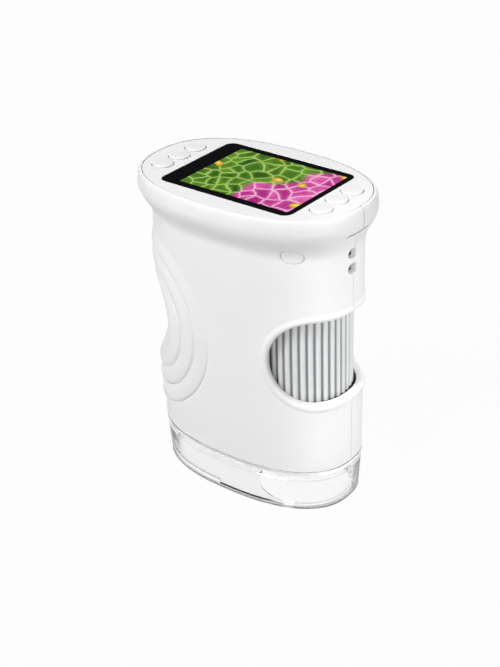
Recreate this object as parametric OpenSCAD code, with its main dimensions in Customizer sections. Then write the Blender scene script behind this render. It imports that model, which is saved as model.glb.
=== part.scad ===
// Pocket microscope: a moulded housing in two halves with a screen and six buttons on top,
// a ribbed focus drum in a finger window at one end, a rippled thumb grip at the other,
// and a clear stand that the housing lifts off. Millimetres.
// Frame: +X towards the focus drum, -X towards the grip, +Z up,
// origin at the centre of the stand's bottom face.

/* [Housing] */
// Length of the housing under the collar
housing_len_top = 73.2; // [71:0.2:77]
// Width of the housing under the collar
housing_wid_top = 42.7; // [41.5:0.1:46]
// Length of the housing at its lower edge
housing_len_low = 71.8; // [70:0.2:75]
// Width of the housing at its lower edge
housing_wid_low = 42; // [41:0.1:45]
// Height of the screen face above the table
overall_h = 105; // [103:0.5:115]
// Squareness of the oval outline, where 2 is an ellipse
outline_power = 2.4; // [2.3:0.05:2.8]
// Wall thickness of the half shells
wall = 2; // [1.6:0.1:2.4]
// Gap along the seam between the half shells
seam_gap = 0.1; // [0.06:0.02:0.2]

/* [Collar] */
// Length over the collar
collar_len = 80.4; // [79:0.2:86]
// Width over the collar
collar_wid = 52; // [50:0.2:56]
// Height of the collar from where it starts to the screen face
collar_h = 15; // [13:0.5:17]
// Drop of the widest line below the screen face
collar_drop = 4; // [3.5:0.25:5]
// Inward reach of the rounded top edge
collar_round = 1.2; // [0.8:0.1:1.6]
// Thickness of the lip around the top panel
lip_t = 0.5; // [0.4:0.1:0.8]
// Width of the ledge under the top panel
ledge_w = 1.6; // [1.2:0.1:2]

/* [Grip] */
// Height of the grip's centre
grip_z = 54; // [50:1:58]
// Radius of the innermost ripple
grip_r = 20; // [18:0.5:21]
// Radial width of each outer ripple
grip_step = 6; // [4:0.5:6.5]
// Height of each ripple's rolled edge
grip_rise = 0.8; // [0.5:0.05:1]
// Fall of each ripple towards the next
grip_fall = 0.55; // [0.3:0.05:0.7]
// Depth of the thumb hollow
grip_hollow = 3; // [2:0.1:3.6]
// Reach of the thumb hollow round the side
hollow_r = 16; // [13:0.5:18]
// Reach of the thumb hollow above its centre
hollow_high = 21.5; // [16:0.5:23]
// Reach of the thumb hollow below its centre
hollow_low = 15; // [13:0.5:18]
// Drop of the hollow's centre below the grip's centre
hollow_down = 1.5; // [0:0.5:4]

/* [Finger window] */
// Height of the drum's centre
focus_z = 56; // [54:0.5:58]
// Drop of the window's centre below the drum's centre
window_drop = 1.3; // [0:0.1:2]
// Height of the window, which is also twice its end radius
window_h = 29.6; // [26:0.2:31]
// Reach of the window from the end of the housing
window_reach = 18.4; // [16:0.2:20]
// Radius of the rolled rim
rim_r = 1.35; // [1.2:0.05:1.5]
// Depth of the rim's centre line under the surface
rim_sink = 0.85; // [0.6:0.05:1]
// Distance of the rim's centre line from the window's edge
rim_off = 1.15; // [0.9:0.05:1.4]

/* [Focus drum] */
// Diameter of the drum over its ribs
drum_d = 32; // [30:0.5:32.5]
// Height of the drum
drum_h = 33.6; // [32:0.2:35]
// Number of ribs
drum_ribs = 40; // [30:1:50]
// Diameter of the round groove between ribs
rib_groove_d = 1.2; // [0.8:0.1:1.3]
// Wall of the drum under its ribs
drum_wall = 2; // [1.6:0.1:2.6]
// Clearance between the drum and the housing wall
drum_gap = 0.9; // [0.7:0.1:1.4]
// Clearance above and below the drum
drum_end_gap = 0.3; // [0.2:0.05:0.6]
// Whole turn of the drum in degrees
focus_turn = 240; // [180:10:250]
// Whole travel of the lens
focus_travel = 8; // [5:0.5:9]

/* [Optics] */
// Diameter of the lens barrel
barrel_d = 16; // [14:0.5:17]
// Length of the lens barrel
barrel_len = 18; // [16:0.5:20]
// Wall of the guide tube
tube_wall = 1.5; // [1.2:0.1:1.8]
// Wall of the cam ring
cam_wall = 2.3; // [2:0.1:2.6]
// Diameter of the follower pins
pin_d = 2; // [1.6:0.1:2.2]
// Radial clearance of a running fit
run_gap = 0.08; // [0.05:0.01:0.1]
// Side clearance of the pins in the cam grooves
groove_gap = 0.15; // [0.1:0.01:0.25]
// Diameter of the carrier plates above and below the drum
plate_d = 32; // [30:0.5:33]
// Thickness of the carrier plates
plate_t = 2.2; // [1.8:0.1:2.6]
// Side of the square sensor board
sensor_side = 15; // [13:0.5:16]
// Thickness of the small circuit boards
small_board_t = 1; // [0.8:0.1:1.2]
// Diameter of the round light window
light_d = 25; // [24:0.5:26]
// Number of lamps in the ring
lamp_count = 8; // [6:1:10]

/* [Screen and boards] */
// Length of the black screen window
screen_len = 49.4; // [48:0.2:50]
// Width of the black screen window
screen_wid = 36.2; // [35:0.2:37]
// Offset of the screen window towards the drum
screen_x = 0.8; // [0:0.1:1]
// Corner radius of the screen window
screen_corner = 3; // [2:0.5:4]
// Thickness of the screen window
screen_t = 1.1; // [0.8:0.1:1.3]
// Length of the picture area
picture_len = 40.8; // [39:0.2:41]
// Width of the picture area
picture_wid = 30.6; // [29:0.2:31]
// Margin between the picture and the window's edge at the drum end
picture_edge = 2; // [1.6:0.1:3.5]
// Margin of the display inside the screen window's outline
display_edge = 1.2; // [0.8:0.1:2]
// Thickness of the display
display_t = 2.2; // [1.8:0.1:2.3]
// Thickness of the top panel
panel_t = 2; // [1.8:0.1:2.4]
// Depth of the main board's upper face below the screen face
board_drop = 6.4; // [6.2:0.1:7]
// Thickness of the main board
board_t = 1.2; // [1:0.1:1.6]

/* [Buttons] */
// Diameter of a button
button_d = 6.5; // [6:0.1:7]
// Gap around a button
button_gap = 0.35; // [0.2:0.05:0.5]
// Height of a button above the top panel
button_up = 0.9; // [0.6:0.1:1.2]
// Distance of the button columns from the panel's ends
button_edge = 8.1; // [7.5:0.1:8.7]
// Gap between the flanges of neighbouring buttons
button_space = 0.3; // [0.3:0.1:1]
// Travel of a button
button_travel = 0.5; // [0.3:0.05:0.6]

/* [Seam fittings] */
// Distance of the oval screw plugs from the middle
plug_x = 26.2; // [24:0.2:27]
// Drop of the screw plugs below the screen face
plug_drop = 13.2; // [13:0.2:15]
// Length of a screw plug
plug_len = 6.4; // [5.8:0.2:7.4]
// Height of a screw plug
plug_h = 5; // [4.6:0.1:5.6]
// Width of the card slot
card_slot_w = 12.6; // [12:0.2:13.4]
// Height of the card slot
card_slot_h = 1; // [0.8:0.1:1.1]
// Width of the charging port
port_w = 9; // [8.6:0.1:9.4]
// Height of the charging port
port_h = 3.2; // [3:0.1:3.4]
// Drop of the upper strap hole below the screen face
strap_drop = 15.6; // [15:0.2:17]
// Height of each strap hole
strap_hole_h = 3.2; // [2.6:0.2:3.6]
// Width of the bar between the strap holes
strap_bar = 1.9; // [1.5:0.1:2.4]
// Reach of the strap holes from the seam
strap_reach = 2.6; // [2:0.2:3]
// Reach of the strap holes past the seam into the rear half
strap_over = 1.4; // [1:0.1:2]

/* [Battery] */
// Thickness of the battery
battery_t = 10; // [6:0.5:11]
// Width of the battery
battery_w = 33; // [26:1:33]
// Height of the battery
battery_h = 50; // [40:1:54]

/* [Stand] */
// Length of the stand at the table
stand_len = 69.8; // [68:0.2:74]
// Width of the stand at the table
stand_wid = 40; // [39:0.1:44]
// Height of the stand
stand_h = 15; // [13:0.5:17]
// Wall of the stand
stand_wall = 1.6; // [1.4:0.1:2]
// Thickness of the stand's floor
stand_floor = 1.5; // [1.2:0.1:2]
// Diameter of the viewing hole in the floor
view_d = 30; // [24:0.5:31]
// Height of the slide slot above the floor
slide_slot_h = 1.5; // [1.2:0.1:2]
// Distance of the slide slot's ends from the middle, towards the grip
slide_slot_x = 2.8; // [2:0.2:6]
// Height of the housing's spigot inside the stand
spigot_h = 2.6; // [2:0.1:3.5]
// Thickness of the spigot
spigot_t = 1.4; // [1.2:0.1:1.8]
// Clearance between the stand and the housing
stand_gap = 0.2; // [0.15:0.05:0.3]

/* [Hidden] */
$fn = 48;
// Straight sides that approximate the oval outline, outside and inside
sides = 64;
inner_sides = 36;
// Sides of the small round features moulded into the shells
shell_fn = 18;
// Overlap that fuses shapes of one solid
eps = 0.05;
// Reach of cutting tools beyond the part
far = 80;
// Distance from the middle at which cuts through one end start
cut_from = housing_len_low / 2 - 2 * wall;
// Air gap between neighbouring inner parts
air = 0.1;

// Heights of the housing
collar_start = overall_h - collar_h;
collar_z = overall_h - collar_drop;
panel_z = overall_h - panel_t;
board_top = overall_h - board_drop;
board_z = board_top - board_t;
spigot_z = stand_h - spigot_h;
floor_ring_h = 2;
pocket_inset = stand_wall + stand_gap + spigot_t;

// Half sizes of the top panel and of its pocket
panel_a = collar_len / 2 - collar_round - lip_t;
panel_b = collar_wid / 2 - collar_round - lip_t;
ledge_a = panel_a - ledge_w;
ledge_b = panel_b - ledge_w;

// Half sizes of the housing at a height
function mix(u, v, t) = u + (v - u) * t;
function rise_share(z) = (min(z, collar_start) - stand_h) / (collar_start - stand_h);
function body_a(z) = mix(housing_len_low, housing_len_top, rise_share(z)) / 2;
function body_b(z) = mix(housing_wid_low, housing_wid_top, rise_share(z)) / 2;
function swell(z) =
    z <= collar_start ? 0 :
    z >= collar_z ? 1 :
    (1 - cos(180 * (z - collar_start) / (collar_z - collar_start))) / 2;
function tuck(z) =
    z <= collar_z ? 0 :
    collar_round * (1 - sqrt(max(0, 1 - pow((z - collar_z) / (overall_h - collar_z), 2))));
function out_a(z) = body_a(z) + swell(z) * (collar_len - housing_len_top) / 2 - tuck(z);
function out_b(z) = body_b(z) + swell(z) * (collar_wid - housing_wid_top) / 2 - tuck(z);

// Heights at which the housing is lofted
collar_steps = 7;
edge_steps = 4;
collar_levels = [for (i = [1:collar_steps]) mix(collar_start, collar_z, i / collar_steps)];
edge_levels = [for (i = [1:edge_steps]) mix(collar_z, overall_h, sin(90 * i / edge_steps))];
housing_levels = concat([stand_h, collar_start], collar_levels, edge_levels);

// Oval outlines
function pw(v, e) = sign(v) * pow(abs(v), e);
function oval_pt(t, a, b) = [a * pw(cos(t), 2 / outline_power), b * pw(sin(t), 2 / outline_power)];
function oval(a, b, n = sides) = [for (i = [0:n - 1]) oval_pt(360 * i / n, a, b)];
function ring(a, b, z, n = sides) = [for (p = oval(a, b, n)) [p.x, p.y, z]];
function side_y(x, z, inset = 0) =
    (out_b(z) - inset) * pow(max(0, 1 - pow(abs(x) / (out_a(z) - inset), outline_power)), 1 / outline_power);
function end_x(y, z, inset = 0) =
    (out_a(z) - inset) * pow(max(0, 1 - pow(abs(y) / (out_b(z) - inset), outline_power)), 1 / outline_power);
function on_wall(p, a, b) =
    p / pow(pow(abs(p.x) / a, outline_power) + pow(abs(p.y) / b, outline_power), 1 / outline_power);

// Grip ripples and thumb hollow, as offsets of the housing surface
grip_x = -body_a(grip_z);
grip_ring_r = [grip_r + 2 * grip_step, grip_r + grip_step, grip_r];
grip_levels = 13;
grip_lap = 0.4;
hollow_power = 1.4;
hollow_z = grip_z - hollow_down;
function grip_dist(x, z) = norm([x - grip_x, z - grip_z]);
function hollow(x, z) =
    let (u = (x - grip_x) / hollow_r, w = (z - hollow_z) / (z > hollow_z ? hollow_high : hollow_low))
    pow(max(0, 1 - u * u - w * w), hollow_power);
function ripple_h(k, x, z) =
    k == 2
    ? grip_rise - (grip_hollow + grip_rise) * hollow(x, z)
    : grip_rise - grip_fall * max(0, (grip_ring_r[k] - grip_dist(x, z)) / grip_step);
function ripple_pt(k, t, z) =
    let (p = oval_pt(t, body_a(z), body_b(z)), h = ripple_h(k, p.x, z))
    concat(oval_pt(t, body_a(z) + h, body_b(z) + h), z);
function cavity_pt(t, z) =
    let (p = oval_pt(t, body_a(z), body_b(z)), h = -wall - grip_hollow * hollow(p.x, z))
    concat(oval_pt(t, body_a(z) + h, body_b(z) + h), z);

// Finger window and its rim
window_r = window_h / 2;
window_z = focus_z - window_drop;
window_x = body_a(window_z) - window_reach + window_r;
rim_path_r = window_r + rim_off;
rim_steps = 16;
rim_run_steps = 6;
rim_over_seam = -6;
function rim_run(z, i) =
    let (last = acos(pow(window_x / body_a(z), outline_power / 2)))
    let (p = oval_pt(-mix(rim_over_seam, last, i / rim_run_steps), body_a(z), body_b(z)))
    [p.x, p.y, z];
function rim_arc(i) =
    let (t = 90 + 180 * i / rim_steps)
    let (x = window_x + rim_path_r * cos(t), z = window_z + rim_path_r * sin(t))
    [x, -side_y(x, z), z];
rim_surface = concat(
    [for (i = [0:rim_run_steps - 1]) rim_run(window_z + rim_path_r, i)],
    [for (i = [0:rim_steps]) rim_arc(i)],
    [for (i = [rim_run_steps - 1:-1:0]) rim_run(window_z - rim_path_r, i)]
);
function unit(v) = v / norm(v);
function wall_normal(p) =
    unit([pw(p.x / out_a(p.z), outline_power - 1) / out_a(p.z),
          pw(p.y / out_b(p.z), outline_power - 1) / out_b(p.z), 0]);
rim_path = [for (p = rim_surface) p - rim_sink * wall_normal(p)];
rim_sides = 8;

// Focus drum, cam and lens
drum_r = drum_d / 2;
axis_x = body_a(focus_z - drum_h / 2) - wall - drum_gap - drum_r;
drum_z = focus_z - drum_h / 2;
barrel_r = barrel_d / 2;
tube_in_r = barrel_r + run_gap;
tube_r = tube_in_r + tube_wall;
cam_in_r = tube_r + run_gap;
cam_r = cam_in_r + cam_wall;
hub_t = 1.3;
cam_end = 2;
cam_z = drum_z + cam_end;
cam_len = drum_h - 2 * cam_end;
cam_floor = 0.6;
cam_steps = 44;
pin_reach = cam_r - cam_floor - groove_gap;
groove_half = pin_d / 2 + groove_gap;
groove_ends = (groove_half / cam_in_r) * 180 / PI;
barrel_z = focus_z - barrel_len * 2 / 3;
lower_plate_z = drum_z - drum_end_gap - plate_t;
mount_z = drum_z + drum_h + drum_end_gap;
mount_top = mount_z + plate_t;
shelf_t = 1.8;
shelf_hole_r = plate_d / 2 - 4;
groove_r = rib_groove_d / 2;

// Light ring under the optics
cover_t = 2;
cover_z = spigot_z + stand_gap;
cover_top = cover_z + cover_t;
light_t = 1.2;
light_seat = 1.2;
lamp_h = 0.8;
lamp_side = 2.4;
lamp_board_z = cover_z + light_t + lamp_h + 0.4;
lamp_board_r = tube_r + 1.2;
lamp_ring_r = tube_in_r + 0.2;
tube_foot_z = lamp_board_z + small_board_t;

// Top stack
display_len = screen_len - 2 * display_edge;
display_wid = screen_wid - 2 * display_edge;
picture_x = screen_x + screen_len / 2 - picture_edge - picture_len / 2;
opening_margin = 1.2;
button_x = panel_a - button_edge;
button_r = button_d / 2;
button_hole_r = button_r + button_gap;
post_r = 1.8;
board_margin = 1.4;
post_y = 14.5;
post_in = 1.75;
post_x = end_x(post_y, board_z, wall + board_margin) - post_in;
post_places = [for (sx = [-1, 1]) for (sy = [-1, 1]) [sx * post_x, sy * post_y]];
small_screw_r = 0.8;
post_hole = 3;
post_bite = 2.5;
small_head_r = 1.5;
small_head_h = 1;
button_flange_r = button_hole_r + 0.25;
button_pitch = 2 * button_flange_r + button_space;
button_flange_t = 1;
button_flange_z = panel_z - button_flange_t - air / 2;
dome_h = button_up * 2 / 3;
dome_r = (pow(button_r, 2) + pow(dome_h, 2)) / (2 * dome_h);
switch_side = 5;
switch_h = 1.2;
plunger_r = 1.2;
plunger_h = 0.4;
stem_r = 1.5;
stem_z = board_top + switch_h + plunger_h + button_travel + air / 2;
card_z = board_z - card_slot_h / 2 - 0.1;
card_socket_len = 14.8;
card_socket_w = card_slot_w + 1.8;
card_socket_t = 1.5;
port_z = board_z - port_h / 2;
port_len = 7.3;
port_gap = 0.2;

// Seam screws and their plugs
plug_z = overall_h - plug_drop;
plug_gap = 0.1;
plug_edge_y = side_y(plug_x + plug_len / 2, plug_z);
plug_seat_y = plug_edge_y - 1.2;
seam_screw_r = 1.25;
head_room = 0.25;
seam_head_r = plug_h / 2 - head_room;
seam_head_h = 2;
head_seat_y = plug_seat_y - seam_head_h - 0.2;
seam_screw_end = 9;
boss_wall = 1.6;
boss_r = seam_screw_r + boss_wall;
strap_z = overall_h - strap_drop;

// Wall of the inner frame, beside the drum
frame_t = 1.6;
frame_gap = 1.5;
frame_x = axis_x - drum_r - frame_gap - frame_t;

// Bottom cover screws
cover_screw_r = 1.1;
cover_head_r = 2;
cover_head_h = 1.2;
cover_screw_len = 8;
cover_boss_r = 2.4;
cover_boss_h = 9;
cover_boss_z = cover_top + eps;
boss_gap = 0.6;
cover_bosses = [[-27, 8], [frame_x + frame_t + cover_boss_r + boss_gap, 14.6]];
cover_places = [for (p = cover_bosses) for (s = [-1, 1]) [p.x, s * p.y]];

// Inner frame and battery
frame_z = stand_h + floor_ring_h + air;
frame_foot_half = body_b(stand_h) - pocket_inset - 4;
frame_top = board_z - 4;
frame_half = side_y(frame_x, frame_z, wall) - 0.4;
frame_ledge = 1.6;
battery_x = frame_x - battery_t - 0.2;
battery_z = grip_z + 3 - battery_h / 2;
rail_in = 1.2;
rail_r = 0.6;

// Closed solid through rings of points, from the lowest ring to the highest
module loft(rings) {
    n = len(rings[0]);
    m = len(rings);
    polyhedron(
        points = [for (r = rings) each r],
        faces = concat(
            [[for (i = [0:n - 1]) i]],
            [for (k = [0:m - 2]) for (i = [0:n - 1]) [k * n + i, (k + 1) * n + (i + 1) % n, k * n + (i + 1) % n]],
            [for (k = [0:m - 2]) for (i = [0:n - 1]) [k * n + i, (k + 1) * n + i, (k + 1) * n + (i + 1) % n]],
            [[for (i = [n - 1:-1:0]) (m - 1) * n + i]]
        ),
        convexity = 6
    );
}

// Oval plate between two heights
module oval_plate(a, b, z0, z1) {
    translate([0, 0, z0])
        linear_extrude(z1 - z0)
            polygon(oval(a, b));
}

// Flat rectangle with rounded corners, centred
module rounded(l, w, r) {
    corner_steps = 6;
    polygon([
        for (q = [[1, 1, 0], [-1, 1, 90], [-1, -1, 180], [1, -1, 270]])
            for (i = [0:corner_steps])
                [q.x * (l / 2 - r), q.y * (w / 2 - r)]
                    + r * [cos(q.z + 90 * i / corner_steps), sin(q.z + 90 * i / corner_steps)]
    ]);
}

// Oval peg along Y with round ends, from one depth to another
module oval_peg(l, h, y0, y1) {
    hull()
        for (s = [-1, 1])
            translate([s * (l - h) / 2, 0, 0])
                y_bar(h / 2, y0, y1, shell_fn);
}

// Round bar along Y
module y_bar(r, y0, y1, n = 48) {
    translate([0, y0, 0])
        rotate([-90, 0, 0])
            cylinder(r = r, h = y1 - y0, $fn = n);
}

// Disc on the optical axis
module axis_disc(r, z0, z1, n = 96) {
    translate([axis_x, 0, z0])
        cylinder(r = r, h = z1 - z0, $fn = n);
}

// Round bar across the housing at the grip's centre
module grip_disc(r) {
    translate([grip_x, 0, grip_z])
        rotate([90, 0, 0])
            cylinder(r = r, h = 2 * far, center = true, $fn = 64);
}

// One ripple layer of the grip
module ripple(k) {
    r = grip_ring_r[k] + 2;
    intersection() {
        loft([
            for (j = [0:grip_levels])
                let (z = mix(max(stand_h, grip_z - r), min(collar_start, grip_z + r), j / grip_levels))
                [for (i = [0:sides - 1]) ripple_pt(k, 360 * i / sides, z)]
        ]);
        difference() {
            grip_disc(grip_ring_r[k]);
            if (k < 2)
                grip_disc(grip_ring_r[k + 1] - grip_lap);
        }
    }
}

// Outer form of the housing, solid
module housing_form() {
    difference() {
        loft([for (z = housing_levels) ring(out_a(z), out_b(z), z)]);
        grip_disc(grip_ring_r[0] - grip_lap);
    }
    for (k = [0:2])
        ripple(k);
}

// Inner space of the housing, with the pocket for the top panel
module housing_cavity() {
    steps = 5;
    n = inner_sides;
    low = stand_h + floor_ring_h;
    low_a = body_a(stand_h) - pocket_inset + spigot_t / 2;
    low_b = body_b(stand_h) - pocket_inset + spigot_t / 2;
    mid_z = mix(collar_start, collar_z, 0.5);
    loft(concat(
        [ring(low_a, low_b, spigot_z - 1, n), ring(low_a, low_b, low - eps, n)],
        [for (j = [0:steps])
            let (z = mix(low, collar_start, j / steps))
            [for (i = [0:n - 1]) cavity_pt(360 * i / n, z)]],
        [for (z = [mid_z, collar_z]) ring(out_a(z) - wall, out_b(z) - wall, z, n)],
        [ring(ledge_a, ledge_b, panel_z - eps, n), ring(ledge_a, ledge_b, overall_h + 1, n)]
    ));
    oval_plate(panel_a + air, panel_b + air, panel_z, overall_h + 1);
}

// Spigot that enters the stand and lines the housing's lower edge
module spigot() {
    a = body_a(stand_h) - stand_wall - stand_gap;
    b = body_b(stand_h) - stand_wall - stand_gap;
    difference() {
        oval_plate(a, b, spigot_z, stand_h + floor_ring_h);
        oval_plate(a - spigot_t, b - spigot_t, spigot_z - 1, stand_h + floor_ring_h + 1);
    }
}

// Finger window, cut through both broad sides and round the end
module window_cut() {
    hull()
        for (x = [window_x, far])
            translate([x, 0, window_z])
                rotate([90, 0, 0])
                    cylinder(r = window_r, h = 2 * far, center = true, $fn = 48);
}

// Rolled rim of the finger window on the front half
module window_rim() {
    last = len(rim_path) - 1;
    loft([
        for (i = [0:last])
            let (along = unit(rim_path[min(i + 1, last)] - rim_path[max(i - 1, 0)]))
            let (flat = wall_normal(rim_surface[i]))
            let (out = unit(flat - (flat * along) * along))
            let (across = cross(along, out))
            [for (j = [0:rim_sides - 1])
                rim_path[i] + rim_r * (cos(360 * j / rim_sides) * out + sin(360 * j / rim_sides) * across)]
    ]);
}

// Inner shelf that clamps a carrier plate of the optics
module shelf(z) {
    intersection() {
        difference() {
            oval_plate(body_a(z) - wall / 2, body_b(z) - wall / 2, z, z + shelf_t);
            axis_disc(shelf_hole_r, z - 1, z + shelf_t + 1, 2 * shell_fn);
        }
        translate([axis_x - shelf_hole_r, -far, z - 1])
            cube([far, 2 * far, shelf_t + 2]);
    }
}

// Bosses for the bottom cover's screws, tied to the wall
module cover_boss(p) {
    a = body_a(stand_h) - wall / 2;
    b = body_b(stand_h) - wall / 2;
    hull() {
        translate([p.x, p.y, cover_boss_z])
            cylinder(r = cover_boss_r, h = cover_boss_h, $fn = shell_fn);
        translate(concat(on_wall(p, a, b), stand_h + eps))
            cylinder(r = wall / 4, h = cover_boss_h, $fn = 8);
    }
}

// Rail that holds an edge of the inner frame
module frame_rail(x) {
    top = min(collar_start, frame_top) - 2;
    low = stand_h + floor_ring_h - 1;
    hull()
        for (q = [[low, 1], [low, 0], [top, 1], [top, 0]])
            translate([x, -side_y(x, q[0], wall) + q[1] * rail_in - (1 - q[1]) * wall / 3, q[0]])
                cylinder(r = rail_r, h = 1, $fn = 8);
}

// What both halves share, drawn for the front half
module half_shell() {
    difference() {
        union() {
            difference() {
                housing_form();
                housing_cavity();
                window_cut();
            }
            spigot();
            window_rim();
            difference() {
                union() {
                    shelf(lower_plate_z - shelf_t);
                    shelf(mount_top);
                }
                window_cut();
            }
            for (p = cover_bosses)
                cover_boss([p.x, -p.y]);
            for (x = [frame_x - rail_r - air, frame_x + frame_t + rail_r + air])
                frame_rail(x);
        }
        for (p = cover_bosses)
            translate([p.x, -p.y, cover_boss_z - 1])
                cylinder(r = cover_screw_r + air / 2, h = cover_screw_len + 1, $fn = shell_fn);
        translate([cut_from, -card_slot_w / 2, card_z - card_slot_h / 2])
            cube([far, card_slot_w, card_slot_h]);
        translate([0, 0, port_z])
            rotate([0, 0, 90])
                oval_peg(port_w + 2 * port_gap, port_h + 2 * port_gap, cut_from, far);
        translate([-far, -seam_gap / 2, -far])
            cube([2 * far, far, 4 * far]);
    }
}

// Oval seat and boss of the seam screws on the front half
module front_boss(x) {
    intersection() {
        translate([x, 0, plug_z])
            oval_peg(plug_len + 2 * boss_wall, plug_h + 2 * boss_wall, -far, -head_seat_y + boss_wall);
        under_skin(plug_h / 2 + boss_wall, wall / 2);
    }
    translate([x, 0, plug_z])
        y_bar(boss_r, -head_seat_y, -seam_gap / 2, shell_fn);
}

// Housing under its skin, in a band around the height of the plugs
module under_skin(reach, skin) {
    loft([
        for (k = [-1:1])
            let (z = plug_z + k * reach)
            ring(out_a(z) - skin, out_b(z) - skin, z)
    ]);
}

module front_shell() {
    color("white")
    difference() {
        union() {
            half_shell();
            for (s = [-1, 1])
                front_boss(s * plug_x);
        }
        for (s = [-1, 1])
            translate([s * plug_x, 0, plug_z]) {
                oval_peg(plug_len, plug_h, -far, -head_seat_y);
                y_bar(seam_screw_r + air, -far, 1, shell_fn);
            }
        for (k = [0, 1])
            translate([0, 0, strap_z - k * (strap_hole_h + strap_bar)])
                rotate([0, 0, -90])
                    oval_peg(2 * strap_reach, strap_hole_h, cut_from, far);
    }
}

module rear_shell() {
    rear_wall_y = side_y(plug_x, plug_z, wall);
    color("white")
    difference() {
        union() {
            mirror([0, 1, 0])
                half_shell();
            for (s = [-1, 1])
                translate([s * plug_x, 0, plug_z])
                    hull() {
                        y_bar(boss_r, seam_gap / 2, rear_wall_y - 1, shell_fn);
                        y_bar(boss_r + 0.4, rear_wall_y - 2, side_y(plug_x + boss_r, plug_z, wall / 2), shell_fn);
                    }
        }
        for (s = [-1, 1])
            translate([s * plug_x, 0, plug_z])
                y_bar(seam_screw_r + air / 2, -1, seam_screw_end + 1, shell_fn);
        for (k = [0, 1])
            translate([cut_from, -1, strap_z - k * (strap_hole_h + strap_bar) - strap_hole_h / 2])
                cube([far, strap_over + 1, strap_hole_h]);
    }
}

module top_panel() {
    color("white")
    difference() {
        union() {
            oval_plate(panel_a, panel_b, panel_z, overall_h);
            for (p = post_places)
                translate([p.x, p.y, board_top])
                    cylinder(r = post_r, h = panel_z - board_top + eps);
        }
        translate([screen_x, 0, overall_h - screen_t])
            linear_extrude(screen_t + 1)
                rounded(screen_len + air, screen_wid + air, screen_corner);
        translate([picture_x, 0, panel_z - 1])
            linear_extrude(panel_t + 2)
                rounded(picture_len + opening_margin, picture_wid + opening_margin, 1);
        for (p = button_places)
            translate([p.x, p.y, panel_z - 1])
                cylinder(r = button_hole_r, h = panel_t + 2);
        for (p = post_places)
            translate([p.x, p.y, board_top - 1])
                cylinder(r = small_screw_r + air / 2, h = 1 + post_hole);
    }
}

module screen_window() {
    color("black")
    translate([screen_x, 0, overall_h - screen_t])
        linear_extrude(screen_t)
            rounded(screen_len, screen_wid, screen_corner);
}

module display() {
    color("darkslategray")
    translate([screen_x - display_len / 2, -display_wid / 2, panel_z - air - display_t])
        cube([display_len, display_wid, display_t]);
}

module main_board() {
    color("green")
    difference() {
        oval_plate(out_a(board_z) - wall - board_margin, out_b(board_z) - wall - board_margin, board_z, board_top);
        for (p = post_places)
            translate([p.x, p.y, board_z - 1])
                cylinder(r = small_screw_r + air, h = board_t + 2);
    }
}

// Centres of the six buttons
button_places = [for (sx = [-1, 1]) for (j = [1:-1:-1]) [sx * button_x, j * button_pitch]];

module button_switches() {
    color("dimgray")
    for (p = button_places)
        translate([p.x, p.y, board_top]) {
            translate([-switch_side / 2, -switch_side / 2, 0])
                cube([switch_side, switch_side, switch_h]);
            cylinder(r = plunger_r, h = switch_h + plunger_h);
        }
}

module button(i) {
    p = button_places[i];
    color("whitesmoke")
    translate([p.x, p.y, 0]) {
        intersection() {
            translate([0, 0, button_flange_z])
                cylinder(r = button_r, h = overall_h + button_up - button_flange_z);
            translate([0, 0, overall_h + button_up - dome_r])
                sphere(r = dome_r);
        }
        translate([0, 0, button_flange_z])
            cylinder(r = button_flange_r, h = button_flange_t);
        translate([0, 0, stem_z])
            cylinder(r = stem_r, h = button_flange_z - stem_z + eps);
    }
}

module board_screws() {
    color("silver")
    for (p = post_places)
        translate([p.x, p.y, board_z]) {
            cylinder(r = small_screw_r, h = board_t + post_bite);
            translate([0, 0, -small_head_h])
                cylinder(r = small_head_r, h = small_head_h);
        }
}

module card_socket() {
    mouth = end_x(card_socket_w / 2, card_z, wall) - 0.8;
    color("silver")
    difference() {
        translate([mouth - card_socket_len, -card_socket_w / 2, board_z - card_socket_t])
            cube([card_socket_len, card_socket_w, card_socket_t]);
        translate([mouth - card_socket_len + 2, -card_slot_w / 2, card_z - card_slot_h / 2])
            cube([card_socket_len, card_slot_w, card_slot_h]);
    }
}

module charging_port() {
    mouth = out_a(port_z) - wall / 2;
    metal = 0.4;
    tongue_h = 0.7;
    color("silver")
    translate([0, 0, port_z])
        rotate([0, 0, 90])
            difference() {
                oval_peg(port_w, port_h, mouth - port_len, mouth);
                oval_peg(port_w - 2 * metal, port_h - 2 * metal, mouth - port_len + metal, mouth + 1);
            }
    color("black")
    translate([-mouth + 0.6, -port_w / 2 + 1.4, port_z - tongue_h / 2])
        cube([port_len - 0.8, port_w - 2.8, tongue_h]);
}

module battery() {
    corner = min(3, battery_t / 2 - 0.5);
    color("lightsteelblue")
    translate([battery_x + battery_t / 2, 0, battery_z])
        linear_extrude(battery_h)
            rounded(battery_t, battery_w, corner);
}

module inner_frame() {
    color("gainsboro")
    difference() {
        union() {
            translate([frame_x, -frame_half, frame_z])
                cube([frame_t, 2 * frame_half, frame_top - frame_z]);
            translate([frame_x, -frame_foot_half, cover_top + air])
                cube([frame_t, 2 * frame_foot_half, frame_z - cover_top]);
            for (z = [battery_z - frame_ledge - air, battery_z + battery_h + air])
                translate([battery_x, -battery_w / 4, z])
                    cube([frame_x - battery_x + eps, battery_w / 2, frame_ledge]);
        }
        for (k = [0, 1])
            translate([frame_x - 1, -frame_half / 2, battery_z + (k + 0.15) * battery_h / 2])
                cube([frame_t + 2, frame_half, battery_h / 3]);
    }
}

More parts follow.
